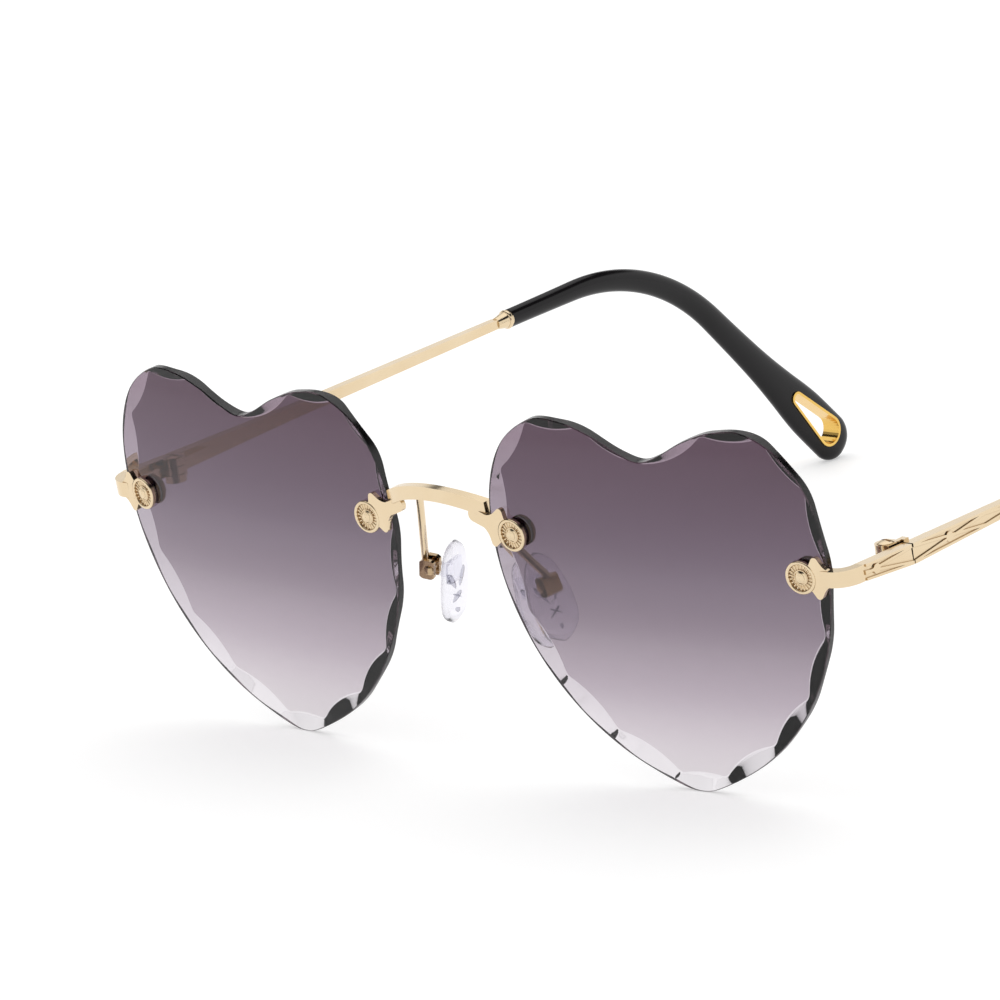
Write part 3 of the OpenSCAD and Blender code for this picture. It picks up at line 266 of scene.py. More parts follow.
class StageSettings(bpy.types.PropertyGroup):
    tilt: angle_prop("Tilt", "Forward tilt of the glasses as they stand", 7.2817)
    back: mm_prop("Middle", "Lens plane from the middle of the whole", 78.0287)
    lift: mm_prop("Lift", "Lens centres over the floor before the tilt", 26.6577)
    azimuth: angle_prop("Azimuth", "Bearing of the camera round the glasses", 46.0)
    elevation: angle_prop("Elevation", "Height angle of the camera", 18.75)
    roll: angle_prop("Roll", "Roll of the camera", -11.35)
    distance: mm_prop("Distance", "Distance of the camera", 1137.27)
    aside: mm_prop("Aside", "Glasses sideways in the picture", -5.745)
    above: mm_prop("Above", "Glasses upwards in the picture", -11.914)
    focal: FloatProperty(name="Focal length", description="Of the camera", default=293.45, unit="CAMERA")
    floor: colour_prop("Floor", "Colour of the floor", (0.72, 0.72, 0.72))
    speck: colour_prop("Speck", "Colour of the faint specks on the floor", (0.69, 0.69, 0.69))
    speck_share: share_prop("Speck share", "Strength of the specks", 0.02)
    matt: share_prop("Matt", "Roughness of the floor", 0.9)
    lamp: FloatProperty(name="Lamp", description="Power of the large soft lamp", default=14.0, unit="POWER")
    ambient: level_prop("Ambient", "Even light from all round on matt things", 0.55)
    glow: level_prop("Glow", "Light that whitens the floor where it is seen", 0.44)
    sweep: angle_prop("Sweep", "Height angle up to which the surroundings are white", 24.0)
    ceiling: angle_prop("Ceiling", "Height angle from which they are bright again", 58.0)
    crown: level_prop("Crown", "Brightness above the ceiling angle", 0.2)
    gap: level_prop("Gap", "Brightness between sweep and ceiling", 0.015)


# Curves and frames

def lookup(x, table):
    """Value at x in a table of (place, value), straight between its rows."""
    if x <= table[0][0]:
        return table[0][1]
    for (a, va), (b, vb) in zip(table, table[1:]):
        if x <= b:
            return va + (vb - va) * (x - a) / (b - a)
    return table[-1][1]


def spline(a, b, c, d, t):
    """Point at the share t between b and c of a smooth curve through four points."""
    return tuple(
        (2 * q + (r - p) * t + (2 * p - 5 * q + 4 * r - s) * t * t + (3 * q - p - 3 * r + s) * t ** 3) / 2
        for p, q, r, s in zip(a, b, c, d))


def stand(sets):
    """From the frame with upright lenses to the floor that the glasses stand on."""
    return Matrix.Translation((0, -sets.back, sets.lift)) @ Matrix.Rotation(sets.tilt, 4, "X")


def lens_place(lens):
    """Lens frame: x out to the temple, y up, z out of the front face."""
    centre = lens.gap / 2 + lens.width / 2 * math.cos(lens.wrap)
    return (Matrix.Translation((centre, 0, 0)) @ Matrix.Rotation(lens.wrap, 4, "Z")
            @ Matrix.Rotation(math.radians(90), 4, "X"))


def temple_place(tip, bar_x):
    """Temple frame: x out, y back from the joint line, z up."""
    return Matrix.Translation((bar_x, tip.joint_back, tip.joint_up)) @ Matrix.Rotation(-tip.slope, 4, "X")


def pad_place(pad):
    """Pad frame: x along the screw, y towards the nose, z up along the pad."""
    return (Matrix.Translation(pad.pivot) @ Matrix.Rotation(-pad.splay, 4, "Y")
            @ Matrix.Rotation(pad.turn, 4, "Z"))


def side_matrix(side, place):
    """The right side's frame, or its mirror image, standing on the floor."""
    flip = Matrix.Scale(-1, 4, (1, 0, 0)) if side < 0 else Matrix.Identity(4)
    return stand(bpy.context.scene.sunglasses_stage) @ flip @ place


def finish_piece(name, bm, matrix, materials, side=1):
    """Turns a bmesh in a local frame into an object in the row frame."""
    bmesh.ops.transform(bm, matrix=matrix, verts=bm.verts)
    if side < 0:
        bmesh.ops.reverse_faces(bm, faces=bm.faces)
    mesh = bpy.data.meshes.new(name)
    bm.to_mesh(mesh)
    bm.free()
    for m in materials:
        mesh.materials.append(m)
    piece = bpy.data.objects.new(name, mesh)
    bpy.context.scene.collection.objects.link(piece)
    return piece


def finish_node(name, m):
    """Gives a solid piece its finish."""
    NODES[name].data.materials.clear()
    NODES[name].data.materials.append(m)


def ring_faces(bm, a, b, material=0):
    """Quads between two closed loops of vertices, so that a runs inside b as seen from outside."""
    for i in range(len(a)):
        j = (i + 1) % len(a)
        f = bm.faces.new((a[i], b[i], b[j], a[j]))
        f.material_index = material
        f.smooth = True


def fan_faces(bm, centre, ring, flip):
    """Triangles from a vertex to a closed loop round it."""
    for i in range(len(ring)):
        j = (i + 1) % len(ring)
        f = bm.faces.new((centre, ring[j], ring[i]) if flip else (centre, ring[i], ring[j]))
        f.smooth = True


def sharpen(bm, ring):
    """Keeps the edges of a closed loop of vertices sharp."""
    for i, v in enumerate(ring):
        bm.edges.get((v, ring[i - 1])).smooth = False


def cut_with(piece, cutters):
    """Cuts each cutter out of the piece and removes it."""
    for c in cutters:
        m = piece.modifiers.new("cut", "BOOLEAN")
        m.operation, m.solver, m.object = "DIFFERENCE", "EXACT", c
        m.material_mode = "TRANSFER"
    bpy.context.view_layer.update()
    whole = piece.data
    piece.data = bpy.data.meshes.new_from_object(piece.evaluated_get(bpy.context.evaluated_depsgraph_get()))
    piece.modifiers.clear()
    bpy.data.meshes.remove(whole)
    for c in cutters:
        bpy.data.objects.remove(c)


def bore_cutter(lens, matrix, material, side, sides=48):
    """A round rod through the lens, along z and past both faces."""
    low, high = -2 * lens.thickness, lens.thickness
    bm = bmesh.new()
    bmesh.ops.create_cone(bm, cap_ends=True, segments=sides, radius1=lens.bore / 2, radius2=lens.bore / 2,
                          depth=high - low)
    bmesh.ops.translate(bm, vec=(0, 0, (high + low) / 2), verts=bm.verts)
    return finish_piece("bore", bm, matrix, [material], side)


# Materials

class Tree:
    """A few short words for building a node tree."""

    def __init__(self, tree):
        self.tree = tree

    def set(self, n, key, value):
        """Links a socket to an input, or sets its value; a colour gets its alpha."""
        if isinstance(value, bpy.types.NodeSocket):
            self.link(value, n.inputs[key])
        elif n.inputs[key].type == "RGBA":
            n.inputs[key].default_value = (*value, 1.0)
        else:
            n.inputs[key].default_value = value

    def node(self, kind, **settings):
        n = self.tree.nodes.new(kind)
        for key, value in settings.items():
            if key in n.inputs:
                self.set(n, key, value)
            else:
                setattr(n, key, value)
        return n

    def link(self, a, b):
        self.tree.links.new(a, b)

    def maths(self, operation, a, b, clamp=False):
        n = self.node("ShaderNodeMath", operation=operation, use_clamp=clamp)
        self.set(n, 0, a)
        self.set(n, 1, b)
        return n.outputs[0]

    def mix(self, share, a, b):
        """Colour a, with a share of colour b over it."""
        n = self.node("ShaderNodeMix", data_type="RGBA")
        for i, v in ((0, share), (6, a), (7, b)):
            self.set(n, i, v)
        return n.outputs[2]

    def steps(self, value, low, high, to_low, to_high):
        """A value between low and high, brought to between two other values."""
        n = self.node("ShaderNodeMapRange")
        for i, v in enumerate((value, low, high, to_low, to_high)):
            self.set(n, i, v)
        return n.outputs[0]

    def ramp(self, value, interpolation, stops):
        """A colour ramp through stops of (place, colour)."""
        n = self.node("ShaderNodeValToRGB")
        self.link(value, n.inputs[0])
        n.color_ramp.interpolation = interpolation
        for i, (place, colour) in enumerate(stops):
            e = n.color_ramp.elements[i] if i < 2 else n.color_ramp.elements.new(place)
            e.position, e.color = place, (*colour, 1.0)
        return n.outputs[0]

    def group(self, group, **values):
        """A node of a shared group, with its inputs set by their names in small letters."""
        n = self.node("ShaderNodeGroup", node_tree=group)
        for key, value in values.items():
            self.set(n, key.capitalize().replace("_", " "), value)
        return n


def new_group(name, ins, outs):
    """An empty shader group; ins are pairs of a name and a default, outs are names."""
    g = bpy.data.node_groups.new(name, "ShaderNodeTree")
    for label, default in ins:
        socket = g.interface.new_socket(name=label, in_out="INPUT", socket_type="NodeSocketFloat")
        socket.default_value = default
    for label in outs:
        g.interface.new_socket(name=label, in_out="OUTPUT", socket_type="NodeSocketFloat")
    return g, Tree(g), g.nodes.new("NodeGroupInput"), g.nodes.new("NodeGroupOutput")


def polish_group():
    """Fine rubbing marks and smudges of a polished surface."""
    g = bpy.data.node_groups.get("polish")
    if g:
        return g
    swing, grain, smudges = POLISH["metal"][:3]
    ins = (("Grain per metre", grain), ("Smudge per metre", smudges), ("Roughness", 0.2),
           ("Variation", swing))
    g, t, gin, gout = new_group("polish", ins, ("Roughness", "Height", "Smudge"))
    where = t.node("ShaderNodeTexCoord").outputs["Object"]
    fine = t.node("ShaderNodeTexNoise", Vector=where, Scale=gin.outputs[0], Detail=3.0, Roughness=0.6)
    wide = t.node("ShaderNodeTexNoise", Vector=where, Scale=gin.outputs[1], Detail=4.0, Roughness=0.55)
    smudge = t.steps(wide.outputs[0], *SMUDGE_EDGES, 0.0, 1.0)
    rubbed = t.maths("MULTIPLY", fine.outputs[0], 1 - SMUDGE_SHARE)
    both = t.maths("ADD", t.maths("MULTIPLY", smudge, SMUDGE_SHARE), rubbed)
    swung = t.maths("MULTIPLY", t.maths("SUBTRACT", both, 0.5), gin.outputs[3])
    t.link(t.maths("ADD", gin.outputs[2], swung, clamp=True), gout.inputs[0])
    t.link(fine.outputs[0], gout.inputs[1])
    t.link(smudge, gout.inputs[2])
    return g


def recess_shade_group():
    """Share of painted brown shade in engraved lines and inner corners, the more the less open they are."""
    g = bpy.data.node_groups.get("recess")
    if g:
        return g
    g, t, gin, gout = new_group("recess", (("Reach", RECESS_REACH), ("Shade share", RECESS_SHADE_SHARE)), ("Share",))
    near = t.node("ShaderNodeAmbientOcclusion", samples=8, only_local=True, Distance=gin.outputs[0])
    # painted shade: the less open a place is, the more of the brown it gets
    share = t.steps(near.outputs["AO"], FULL_SHADE_OPENNESS, SHADE_FREE_OPENNESS, 1.0, 0.0)
    t.link(t.maths("MULTIPLY", share, gin.outputs[1]), gout.inputs[0])
    return g


def plain_material(name):
    """A material, its tree and its shader."""
    m = bpy.data.materials.new(name)
    m.use_nodes = True
    return m, Tree(m.node_tree), m.node_tree.nodes["Principled BSDF"]


def polished_material(name, polish, roughness):
    """A material, its tree, its shader polished as its kind of surface, and the smudges on it."""
    m, t, shader = plain_material(name)
    swing, grain, smudges, strength, depth = POLISH[polish]
    p = t.group(polish_group(), grain_per_metre=grain, smudge_per_metre=smudges, roughness=roughness,
                variation=swing)
    t.set(shader, "Roughness", p.outputs["Roughness"])
    if strength:
        marks = t.node("ShaderNodeBump", Height=p.outputs["Height"], Strength=strength, Distance=depth)
        t.link(marks.outputs[0], shader.inputs["Normal"])
    return m, t, shader, p.outputs["Smudge"]


def gilding(name, colour, worn, roughness):
    """Gold plating: polished, a little deeper in its smudges, and with painted brown shade in its recesses.
    """
    m, t, s, smudge = polished_material(name, "metal", roughness)
    plated = t.mix(t.maths("MULTIPLY", smudge, WORN), colour, worn)
    # painted shade: the plated colour is mixed towards brown in the recesses
    t.set(s, "Base Color", t.mix(t.group(recess_shade_group()).outputs["Share"], plated, RECESS_SHADE_BROWN))
    t.set(s, "Metallic", 1.0)
    return m


def glass(m, t, shader, colour, ior):
    """Makes a shader clear or tinted, and lets shadow rays through in its own colour."""
    t.set(shader, "Base Color", colour)
    t.set(shader, "Transmission Weight", 1.0)
    t.set(shader, "IOR", ior)
    through = t.node("ShaderNodeBsdfTransparent", Color=colour)
    mix = t.node("ShaderNodeMixShader")
    t.link(t.node("ShaderNodeLightPath").outputs["Is Shadow Ray"], mix.inputs[0])
    t.link(shader.outputs[0], mix.inputs[1])
    t.link(through.outputs[0], mix.inputs[2])
    t.link(mix.outputs[0], m.node_tree.nodes["Material Output"].inputs["Surface"])
    return m


def tinted_material(lens):
    """The faces of a lens, whose tint fades from its top to its point."""
    m, t, s = polished_material("lens_gradient", "lens", lens.face_roughness)[:3]
    place = t.node("ShaderNodeUVMap", uv_map="lens").outputs[0]
    up = t.node("ShaderNodeSeparateXYZ", Vector=place).outputs[1]
    tints = (lens.tint_bottom, lens.tint_low, lens.tint_middle, lens.tint_high, lens.tint_top)
    return glass(m, t, s, t.ramp(up, "CARDINAL", zip(TINT_PLACES, tints)), COATED_IOR)


def clear_material(name, polish, colour, roughness, ior):
    """A see-through plastic of one colour."""
    return glass(*polished_material(name, polish, roughness)[:3], colour, ior)


def acetate_material(tip):
    m, t, s, smudge = polished_material("black_acetate", "acetate", tip.roughness)
    t.set(s, "Base Color", t.mix(t.maths("MULTIPLY", smudge, CLOUD), tip.acetate, tip.cloud))
    t.set(s, "IOR", ACETATE_IOR)
    t.set(s, "Specular IOR Level", tip.gleam)
    return m


def nylon_material(metal):
    m, t, s = polished_material("nylon", "nylon", metal.nylon_roughness)[:3]
    t.set(s, "Base Color", metal.nylon)
    t.set(s, "Subsurface Weight", NYLON_MILK)
    t.set(s, "Subsurface Radius", NYLON_DEPTHS)
    return m


# Lens

class HeartRim:
    """The heart's outline by distance along it, counted from the point, in metres."""

    def __init__(self, lens, steps=48):
        hw, hh = lens.width / 2, lens.height / 2
        pts = [(hw * x, hh * y) for x, y in HEART_SHARES]
        ends = [(-pts[1][0], pts[1][1])] + pts + [(-pts[-2][0], pts[-2][1])]
        self.points = []
        for i in range(len(pts) - 1):
            self.points += [spline(*ends[i:i + 4], k / steps) for k in range(steps)]
        self.points.append(pts[-1])
        self.run = [0.0]
        for a, b in zip(self.points, self.points[1:]):
            self.run.append(self.run[-1] + math.dist(a, b))
        self.half = self.run[-1]

    def at(self, s):
        """Point at a distance along the rim, negative on the inner side."""
        d = min(abs(s), self.half)
        k = min(bisect_right(self.run, d), len(self.run) - 1) - 1
        a, b = self.run[k], self.run[k + 1]
        t = (d - a) / (b - a)
        p, q = self.points[k], self.points[k + 1]
        x, y = p[0] + (q[0] - p[0]) * t, p[1] + (q[1] - p[1]) * t
        return Vector((math.copysign(x, s) if s else x, y))

    def out(self, s):
        """Outward direction at a distance along the rim."""
        step = self.half * RIM_STEP
        a, b = max(-self.half, s - step), min(self.half, s + step)
        d = (self.at(b) - self.at(a)).normalized()
        return Vector((d.y, -d.x))


class Scoop:
    """One round cut on the back of a lens; its wheel's axis points outwards and slopes to the front."""

    def __init__(self, lens, rim, k, pitch):
        share = lookup(abs(k) / lens.scoops * (len(BAND_SHARES) - 1), list(enumerate(BAND_SHARES)))
        s = k * pitch
        self.out = rim.out(s)
        self.inner = rim.at(s) - lens.scoop_width * share * self.out
        self.low = -lens.thickness - self.inner.length_squared / (2 * lens.base)
        self.slope, self.wheel = lens.slope, lens.wheel

    def height(self, p):
        """Height of the cut face over a place of the lens."""
        d = p - self.inner
        along, aside = d.dot(self.out), d.cross(self.out)
        rise = self.wheel - math.sqrt(max(0.0, self.wheel ** 2 - aside ** 2))
        return self.low + along * math.tan(self.slope) - rise / math.cos(self.slope)


def blend(a, b, reach):
    """The higher of two heights, rounded where they nearly meet."""
    near = max(0.0, 1 - abs(a - b) / reach)
    return max(a, b) + near * near * reach / 4


def lens_bmesh(lens, per_scoop=32, rows=6, front_loops=10):
    """A lens as rings from the middle of its front, round the rim, to the middle of its back."""
    rim = HeartRim(lens)
    count = 2 * lens.scoops + 1
    pitch = 2 * rim.half / count
    scoops = [Scoop(lens, rim, k, pitch) for k in range(-lens.scoops, lens.scoops + 1)]
    columns = count * per_scoop
    middle = Vector((0.0, 0.0))

    def front(p):
        return -lens.base + math.sqrt(lens.base ** 2 - p.length_squared)

    def back(p):
        return -lens.base + math.sqrt((lens.base - lens.thickness) ** 2 - p.length_squared)

    def cut_height(q, k, share, outward=0.0):
        """Height of the cuts over a place; the ridge between two is rounded except at the cleft."""
        beside = k - 1 if share < 0.5 else k + 1
        if beside in (-1, count):
            return scoops[k].height(q)
        reach = lens.ridge + (lens.rim_ridge - lens.ridge) * outward
        return blend(scoops[k].height(q), scoops[beside].height(q), reach)

    eased = lens.ease * math.tan(lens.slope) / 2
    section = []  # of each column: its place on the rim, the way inwards and its row of the cut
    for i in range(columns):
        s = -rim.half + i * pitch / per_scoop
        p, inward = rim.at(s), -rim.out(s)
        k, share = i // per_scoop, (i % per_scoop) / per_scoop
        low, high = lens.ease, 2 * lens.scoop_width
        for step in range(HALVINGS):
            width = (low + high) / 2
            q = p + inward * width
            if cut_height(q, k, share) > back(q) - eased:
                low = width
            else:
                high = width
        cut = []
        for r in range(rows + 1):
            # The last two steps lie in the rounded inner edge
            if r > rows - 2:
                from_inner = (rows - r) * lens.ease / 2
            else:
                from_inner = lens.ease + (low - lens.ease) * (rows - 2 - r) / (rows - 2)
            q = p + inward * (low - from_inner)
            scooped = cut_height(q, k, share, from_inner / low)
            z = max(min(blend(scooped, back(q), eased), front(q) - lens.arris * LEAST_WALL), back(q))
            cut.append((q, back(q) if r == rows else z))
        section.append((p, inward, cut))
    bm = bmesh.new()
    uv = bm.loops.layers.uv.new("lens")
    rings = []

    def ring(points):
        rings.append([bm.verts.new((q.x, q.y, z)) for q, z in points])

    inset = [p + inward * lens.arris for p, inward, cut in section]
    for j in range(1, front_loops + 1):
        share = j / front_loops
        ring([(q * share, front(q * share)) for q in inset])
    ring([(p, front(p) - lens.arris) for p, inward, cut in section])
    for r in range(rows + 1):
        ring([cut[r] for p, inward, cut in section])
    guard = [cut[-1][0] + inward * lens.ease * GUARD for p, inward, cut in section]
    ring([(q, back(q)) for q in guard])
    for j in range(front_loops - 1, 0, -1):
        share = j / front_loops
        ring([(q * share, back(q * share)) for q in guard])
    tint_front, tint_back = front_loops - 1, front_loops + rows + 1
    for j, (a, b) in enumerate(zip(rings, rings[1:])):
        material = TINTED if j < tint_front or j >= tint_back else WALL if j <= front_loops else CUT
        ring_faces(bm, a, b, material)
    fan_faces(bm, bm.verts.new((0, 0, front(middle))), rings[0], False)
    fan_faces(bm, bm.verts.new((0, 0, back(middle))), rings[-1], True)
    bm.normal_update()
    for sharp in rings[front_loops - 1:front_loops + 2]:
        sharpen(bm, sharp)
    for f in bm.faces:
        for loop in f.loops:
            c = loop.vert.co
            loop[uv].uv = (0.5 + c.x / lens.width, 0.5 + c.y / lens.height)
    return bm


def mount_place(lens, u, v):
    """Frame with z along the normal of the front face at a place of the lens."""
    tip_turn = -math.asin(v / lens.base)
    side_turn = math.asin(u / (lens.base * math.cos(tip_turn)))
    return (lens_place(lens) @ Matrix.Translation((0, 0, -lens.base)) @ Matrix.Rotation(side_turn, 4, "Y")
            @ Matrix.Rotation(tip_turn, 4, "X") @ Matrix.Translation((0, 0, lens.base)))


class SUNGLASSES_OT_lenses(bpy.types.Operator):
    """Make both lenses with their scooped edges and screw holes"""
    bl_idname = "sunglasses.lenses"
    bl_label = "Lenses"

    def execute(self, context):
        lens = context.scene.sunglasses_lens
        cut = clear_material("lens_cut_edge", "edge", lens.cut, lens.cut_roughness, LENS_IOR)
        wall = clear_material("lens_rim_wall", "edge", lens.rim, lens.rim_roughness, LENS_IOR)
        materials = [tinted_material(lens), cut, wall]
        places = ((lens.nose_mount[0] - lens.width / 2, lens.nose_mount[1]),
                  (lens.width / 2 - lens.temple_mount[0], lens.temple_mount[1]))
        for name, side in SIDES.items():
            piece = finish_piece("heart_lens_" + name, lens_bmesh(lens), side_matrix(side, lens_place(lens)),
                                 materials, side)
            cut_with(piece, [bore_cutter(lens, side_matrix(side, mount_place(lens, u, v)), cut, side)
                             for u, v in places])
            lo, hi = piece.bound_box[0], piece.bound_box[6]
            off = max(math.dist(a, b) for a, b in zip((lo, hi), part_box("lens_" + name)))
            if off > LENS_MISS:
                raise ValueError("the made lens is %.2f mm off the solid lens" % (off / MM))
            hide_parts("lens_" + name)
            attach(piece, "front")
        return {"FINISHED"}


class SUNGLASSES_OT_metal(bpy.types.Operator):
    """Gild the metal pieces, round their edges and finish the nylon"""
    bl_idname = "sunglasses.metal"
    bl_label = "Gilding"

    def execute(self, context):
        metal = context.scene.sunglasses_metal
        # painted shade: the nuts get gilt darkened for the dark surroundings that they mirror
        browned = gilding("browned_gilt", metal.browned, metal.nut_worn_painted_dark, metal.nut_gilt_roughness)
        # painted shade: the pad boxes and screws get gilt darkened for the dark surroundings that they mirror
        deep = gilding("pad_gilt_painted_dark", metal.deep, metal.pad_worn_painted_dark, metal.deep_roughness)
        chosen = {
            "gilt_metal": gilding("pale_gilt", metal.gilt, metal.gilt_worn, metal.roughness),
            "warm_gilt_metal": gilding("warm_gilt", metal.warm, metal.warm_worn, metal.roughness),
            "nylon": nylon_material(metal),
        }
        for part in frame["record"]["subparts"]:
            name, slot = part["node"], part["material_slot"]
            if slot not in chosen:
                continue
            if name.startswith("nut"):
                finish_node(name, browned)
            elif name.startswith(("pad_box", "pad_screw")):
                finish_node(name, deep)
            else:
                finish_node(name, chosen[slot])
            if name.startswith(SOFTENED):
                b = NODES[name].modifiers.new("polished edges", "BEVEL")
                b.width, b.segments, b.limit_method = metal.softness, 2, "ANGLE"
                b.angle_limit = SOFT_ANGLE
                b.harden_normals = True
        return {"FINISHED"}


# Tips

def tip_spine(tip, s):
    """Place and slope of the middle line of a tip, in the temple frame."""
    bend_start, bend_len = tip.start + tip.straight, tip.bend_radius * tip.bend
    if s <= tip.straight:
        return tip.start + s, 0.0, 0.0
    if s <= tip.straight + bend_len:
        a = (s - tip.straight) / tip.bend_radius
        return bend_start + tip.bend_radius * math.sin(a), -tip.bend_radius * (1 - math.cos(a)), a
    q, a = s - tip.straight - bend_len, tip.bend
    return (bend_start + tip.bend_radius * math.sin(a) + q * math.cos(a),
            -tip.bend_radius * (1 - math.cos(a)) - q * math.sin(a), a)


def oval(a, half_x, half_z, power):
    """Point at an angle round an oval, which is rounder or squarer by its power."""
    c, s = math.cos(a), math.sin(a)
    r = (abs(c) ** power + abs(s) ** power) ** (-1 / power)
    return half_x * r * c, half_z * r * s


def smooth_lookup(x, table):
    """As lookup, with an eased curve through the rows."""
    xs = [p for p, v in table]
    if x <= xs[0] or x >= xs[-1]:
        return lookup(x, table)
    i = max(k for k in range(len(xs) - 1) if xs[k] <= x)

    def slope(k):
        a, b = max(0, k - 1), min(len(table) - 1, k + 1)
        return (table[b][1] - table[a][1]) / (table[b][0] - table[a][0])

    h = xs[i + 1] - xs[i]
    t = (x - xs[i]) / h
    v0, v1, m0, m1 = table[i][1], table[i + 1][1], slope(i) * h, slope(i + 1) * h
    return ((2 * t ** 3 - 3 * t * t + 1) * v0 + (t ** 3 - 2 * t * t + t) * m0
            + (3 * t * t - 2 * t ** 3) * v1 + (t ** 3 - t * t) * m1)


def tip_bmesh(tip, rings=110, sides=48, round_rings=16):
    """A tip as rings along its middle line, and its length."""
    bend_len = tip.bend_radius * tip.bend
    length = tip.straight + bend_len + tip.drop
    flare_r = tip.flare_height / 2
    flare_end = length - flare_r
    path = [flare_end * i / rings for i in range(rings + 1)]
    path += [flare_end + flare_r * TIP_STUB * math.sin(math.pi / 2 * i / round_rings)
             for i in range(1, round_rings + 1)]
    bm = bmesh.new()
    loops = []
    for s in path:
        g = smooth_lookup(min(s, flare_end) / flare_end, FLARE_SHARES)
        e = max(0.0, (s - flare_end) / flare_r)
        hh = (tip.height + (tip.flare_height - tip.height) * g) / 2 * math.sqrt(max(0.0, 1 - e * e))
        ht = (tip.thickness + (tip.flare_thickness - tip.thickness) * g) / 2 * math.sqrt(max(0.0, 1 - e ** 4))
        y, z, a = tip_spine(tip, s)
        loop = []
        for j in range(sides):
            x, up = oval(2 * math.pi * j / sides, ht, hh, 2 + (TIP_SQUARE - 2) * g)
            loop.append(bm.verts.new((x, y + up * math.sin(a), z + up * math.cos(a))))
        loops.append(loop)
    for a, b in zip(loops, loops[1:]):
        ring_faces(bm, b, a)
    first = bm.faces.new(loops[0])
    last = bm.faces.new(list(reversed(loops[-1])))
    first.smooth = last.smooth = True
    sharpen(bm, loops[0])
    bm.normal_update()
    if first.normal.y > 0:
        bmesh.ops.reverse_faces(bm, faces=bm.faces)
    return bm, length


def drop_outline(tip, extra, steps=48):
    """The outline of the hole, made wider all round by an extra."""
    r1, r2 = tip.eye_width / 2 + extra, tip.eye_narrow / 2 + extra
    span = tip.eye_length - tip.eye_width / 2 - tip.eye_narrow / 2
    a = math.acos((r1 - r2) / span)

    def arc(x, r, first, last, n):
        turns = [first + (last - first) * i / n for i in range(n + 1)]
        return [(x + r * math.cos(t), r * math.sin(t)) for t in turns]

    return arc(0, r1, a, 2 * math.pi - a, steps) + arc(span, r2, -a, a, steps // 2)


def drop_place(tip, length, bar_x):
    """Frame of the hole: x to its narrow end, y across it, z through the tip."""
    y, z = tip_spine(tip, length - tip.eye_end - tip.eye_width / 2 - tip.liner)[:2]
    return (temple_place(tip, bar_x) @ Matrix.Translation((0, y, z)) @ Matrix.Rotation(-tip.bend, 4, "X")
            @ Matrix.Rotation(math.radians(-90), 4, "Z") @ Matrix.Rotation(math.radians(90), 4, "X"))


def drop_cutter(tip, length, bar_x, side, material):
    """A rod of the hole's outline, through the tip."""
    bm = bmesh.new()
    lows, highs = ([bm.verts.new((x, y, z)) for x, y in drop_outline(tip, tip.liner + DROP_PLAY)]
                   for z in (-tip.flare_thickness, tip.flare_thickness))
    ring_faces(bm, lows, highs)
    bm.faces.new(list(reversed(lows)))
    bm.faces.new(highs)
    bmesh.ops.recalc_face_normals(bm, faces=bm.faces)
    place = side_matrix(side, drop_place(tip, length, bar_x))
    return finish_piece("drop_cutter", bm, place, [material], side)


class SUNGLASSES_OT_tips(bpy.types.Operator):
    """Make both acetate tips with their drop-shaped holes"""
    bl_idname = "sunglasses.tips"
    bl_label = "Temple tips"

    def execute(self, context):
        tip = context.scene.sunglasses_tip
        acetate = acetate_material(tip)
        for name, side in SIDES.items():
            lo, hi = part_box("ferrule_" + name)
            bar_x = abs(lo[0] + hi[0]) / 2
            bm, length = tip_bmesh(tip)
            place = side_matrix(side, temple_place(tip, bar_x))
            piece = finish_piece("acetate_tip_" + name, bm, place, [acetate], side)
            cut_with(piece, [drop_cutter(tip, length, bar_x, side, acetate)])
            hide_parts("temple_tip_" + name)
            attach(piece, "temple_" + name)
        return {"FINISHED"}


# Nose pads

def pad_bmesh(pad, rings=36, sides=40):
    """The soft form of a pad, as ovals from its lower to its upper end."""
    bm = bmesh.new()
    loops = []
    for i in range(rings + 1):
        q = (1 - math.cos(math.pi * (PAD_STUB + (1 - 2 * PAD_STUB) * i / rings))) / 2
        end = min(1.0, math.sqrt(max(0.0, 1 - (2 * abs(q - 0.5)) ** PAD_END_POWER)) + PAD_STUB)
        w = pad.width / 2 * smooth_lookup(q, PAD_WIDTH_SHARES) * end
        t = pad.thickness / 2 * smooth_lookup(q, PAD_THICK_SHARES) * end
        loop = []
        for j in range(sides):
            x, y = oval(2 * math.pi * j / sides, w, t, PAD_SQUARE)
            loop.append(bm.verts.new((pad.back + x, pad.reach + y, (q - 0.5) * pad.length - pad.low)))
        loops.append(loop)
    for a, b in zip(loops, loops[1:]):
        ring_faces(bm, b, a)
    for loop in (loops[0], loops[-1]):
        bm.faces.new(loop).smooth = True
    bmesh.ops.recalc_face_normals(bm, faces=bm.faces)
    return bm


def rib_bmesh(pad):
    """The hard web inside a pad: a V of two drops, a crossing pair and a short bar."""
    half = pad.length / 2
    bm = bmesh.new()
    for (x0, z0), (x1, z1), thick in PAD_RIBS:
        a, b = Vector((x0 * pad.width / 2, 0, z0 * half)), Vector((x1 * pad.width / 2, 0, z1 * half))
        run = b - a
        turn = Matrix.Rotation(math.atan2(run.x, run.z), 3, "Y")
        middle = (a + b) / 2 + Vector((pad.back, pad.reach, -pad.low))
        for v in bmesh.ops.create_uvsphere(bm, u_segments=16, v_segments=12, radius=1.0)["verts"]:
            taper = 1 + RIB_TAPER * (v.co.z - 1)
            across, deep = thick * pad.width * taper, pad.thickness * RIB_DEPTH * taper
            v.co = turn @ Vector((v.co.x * across, v.co.y * deep, v.co.z * run.length / 2)) + middle
    for f in bm.faces:
        f.smooth = True
    return bm


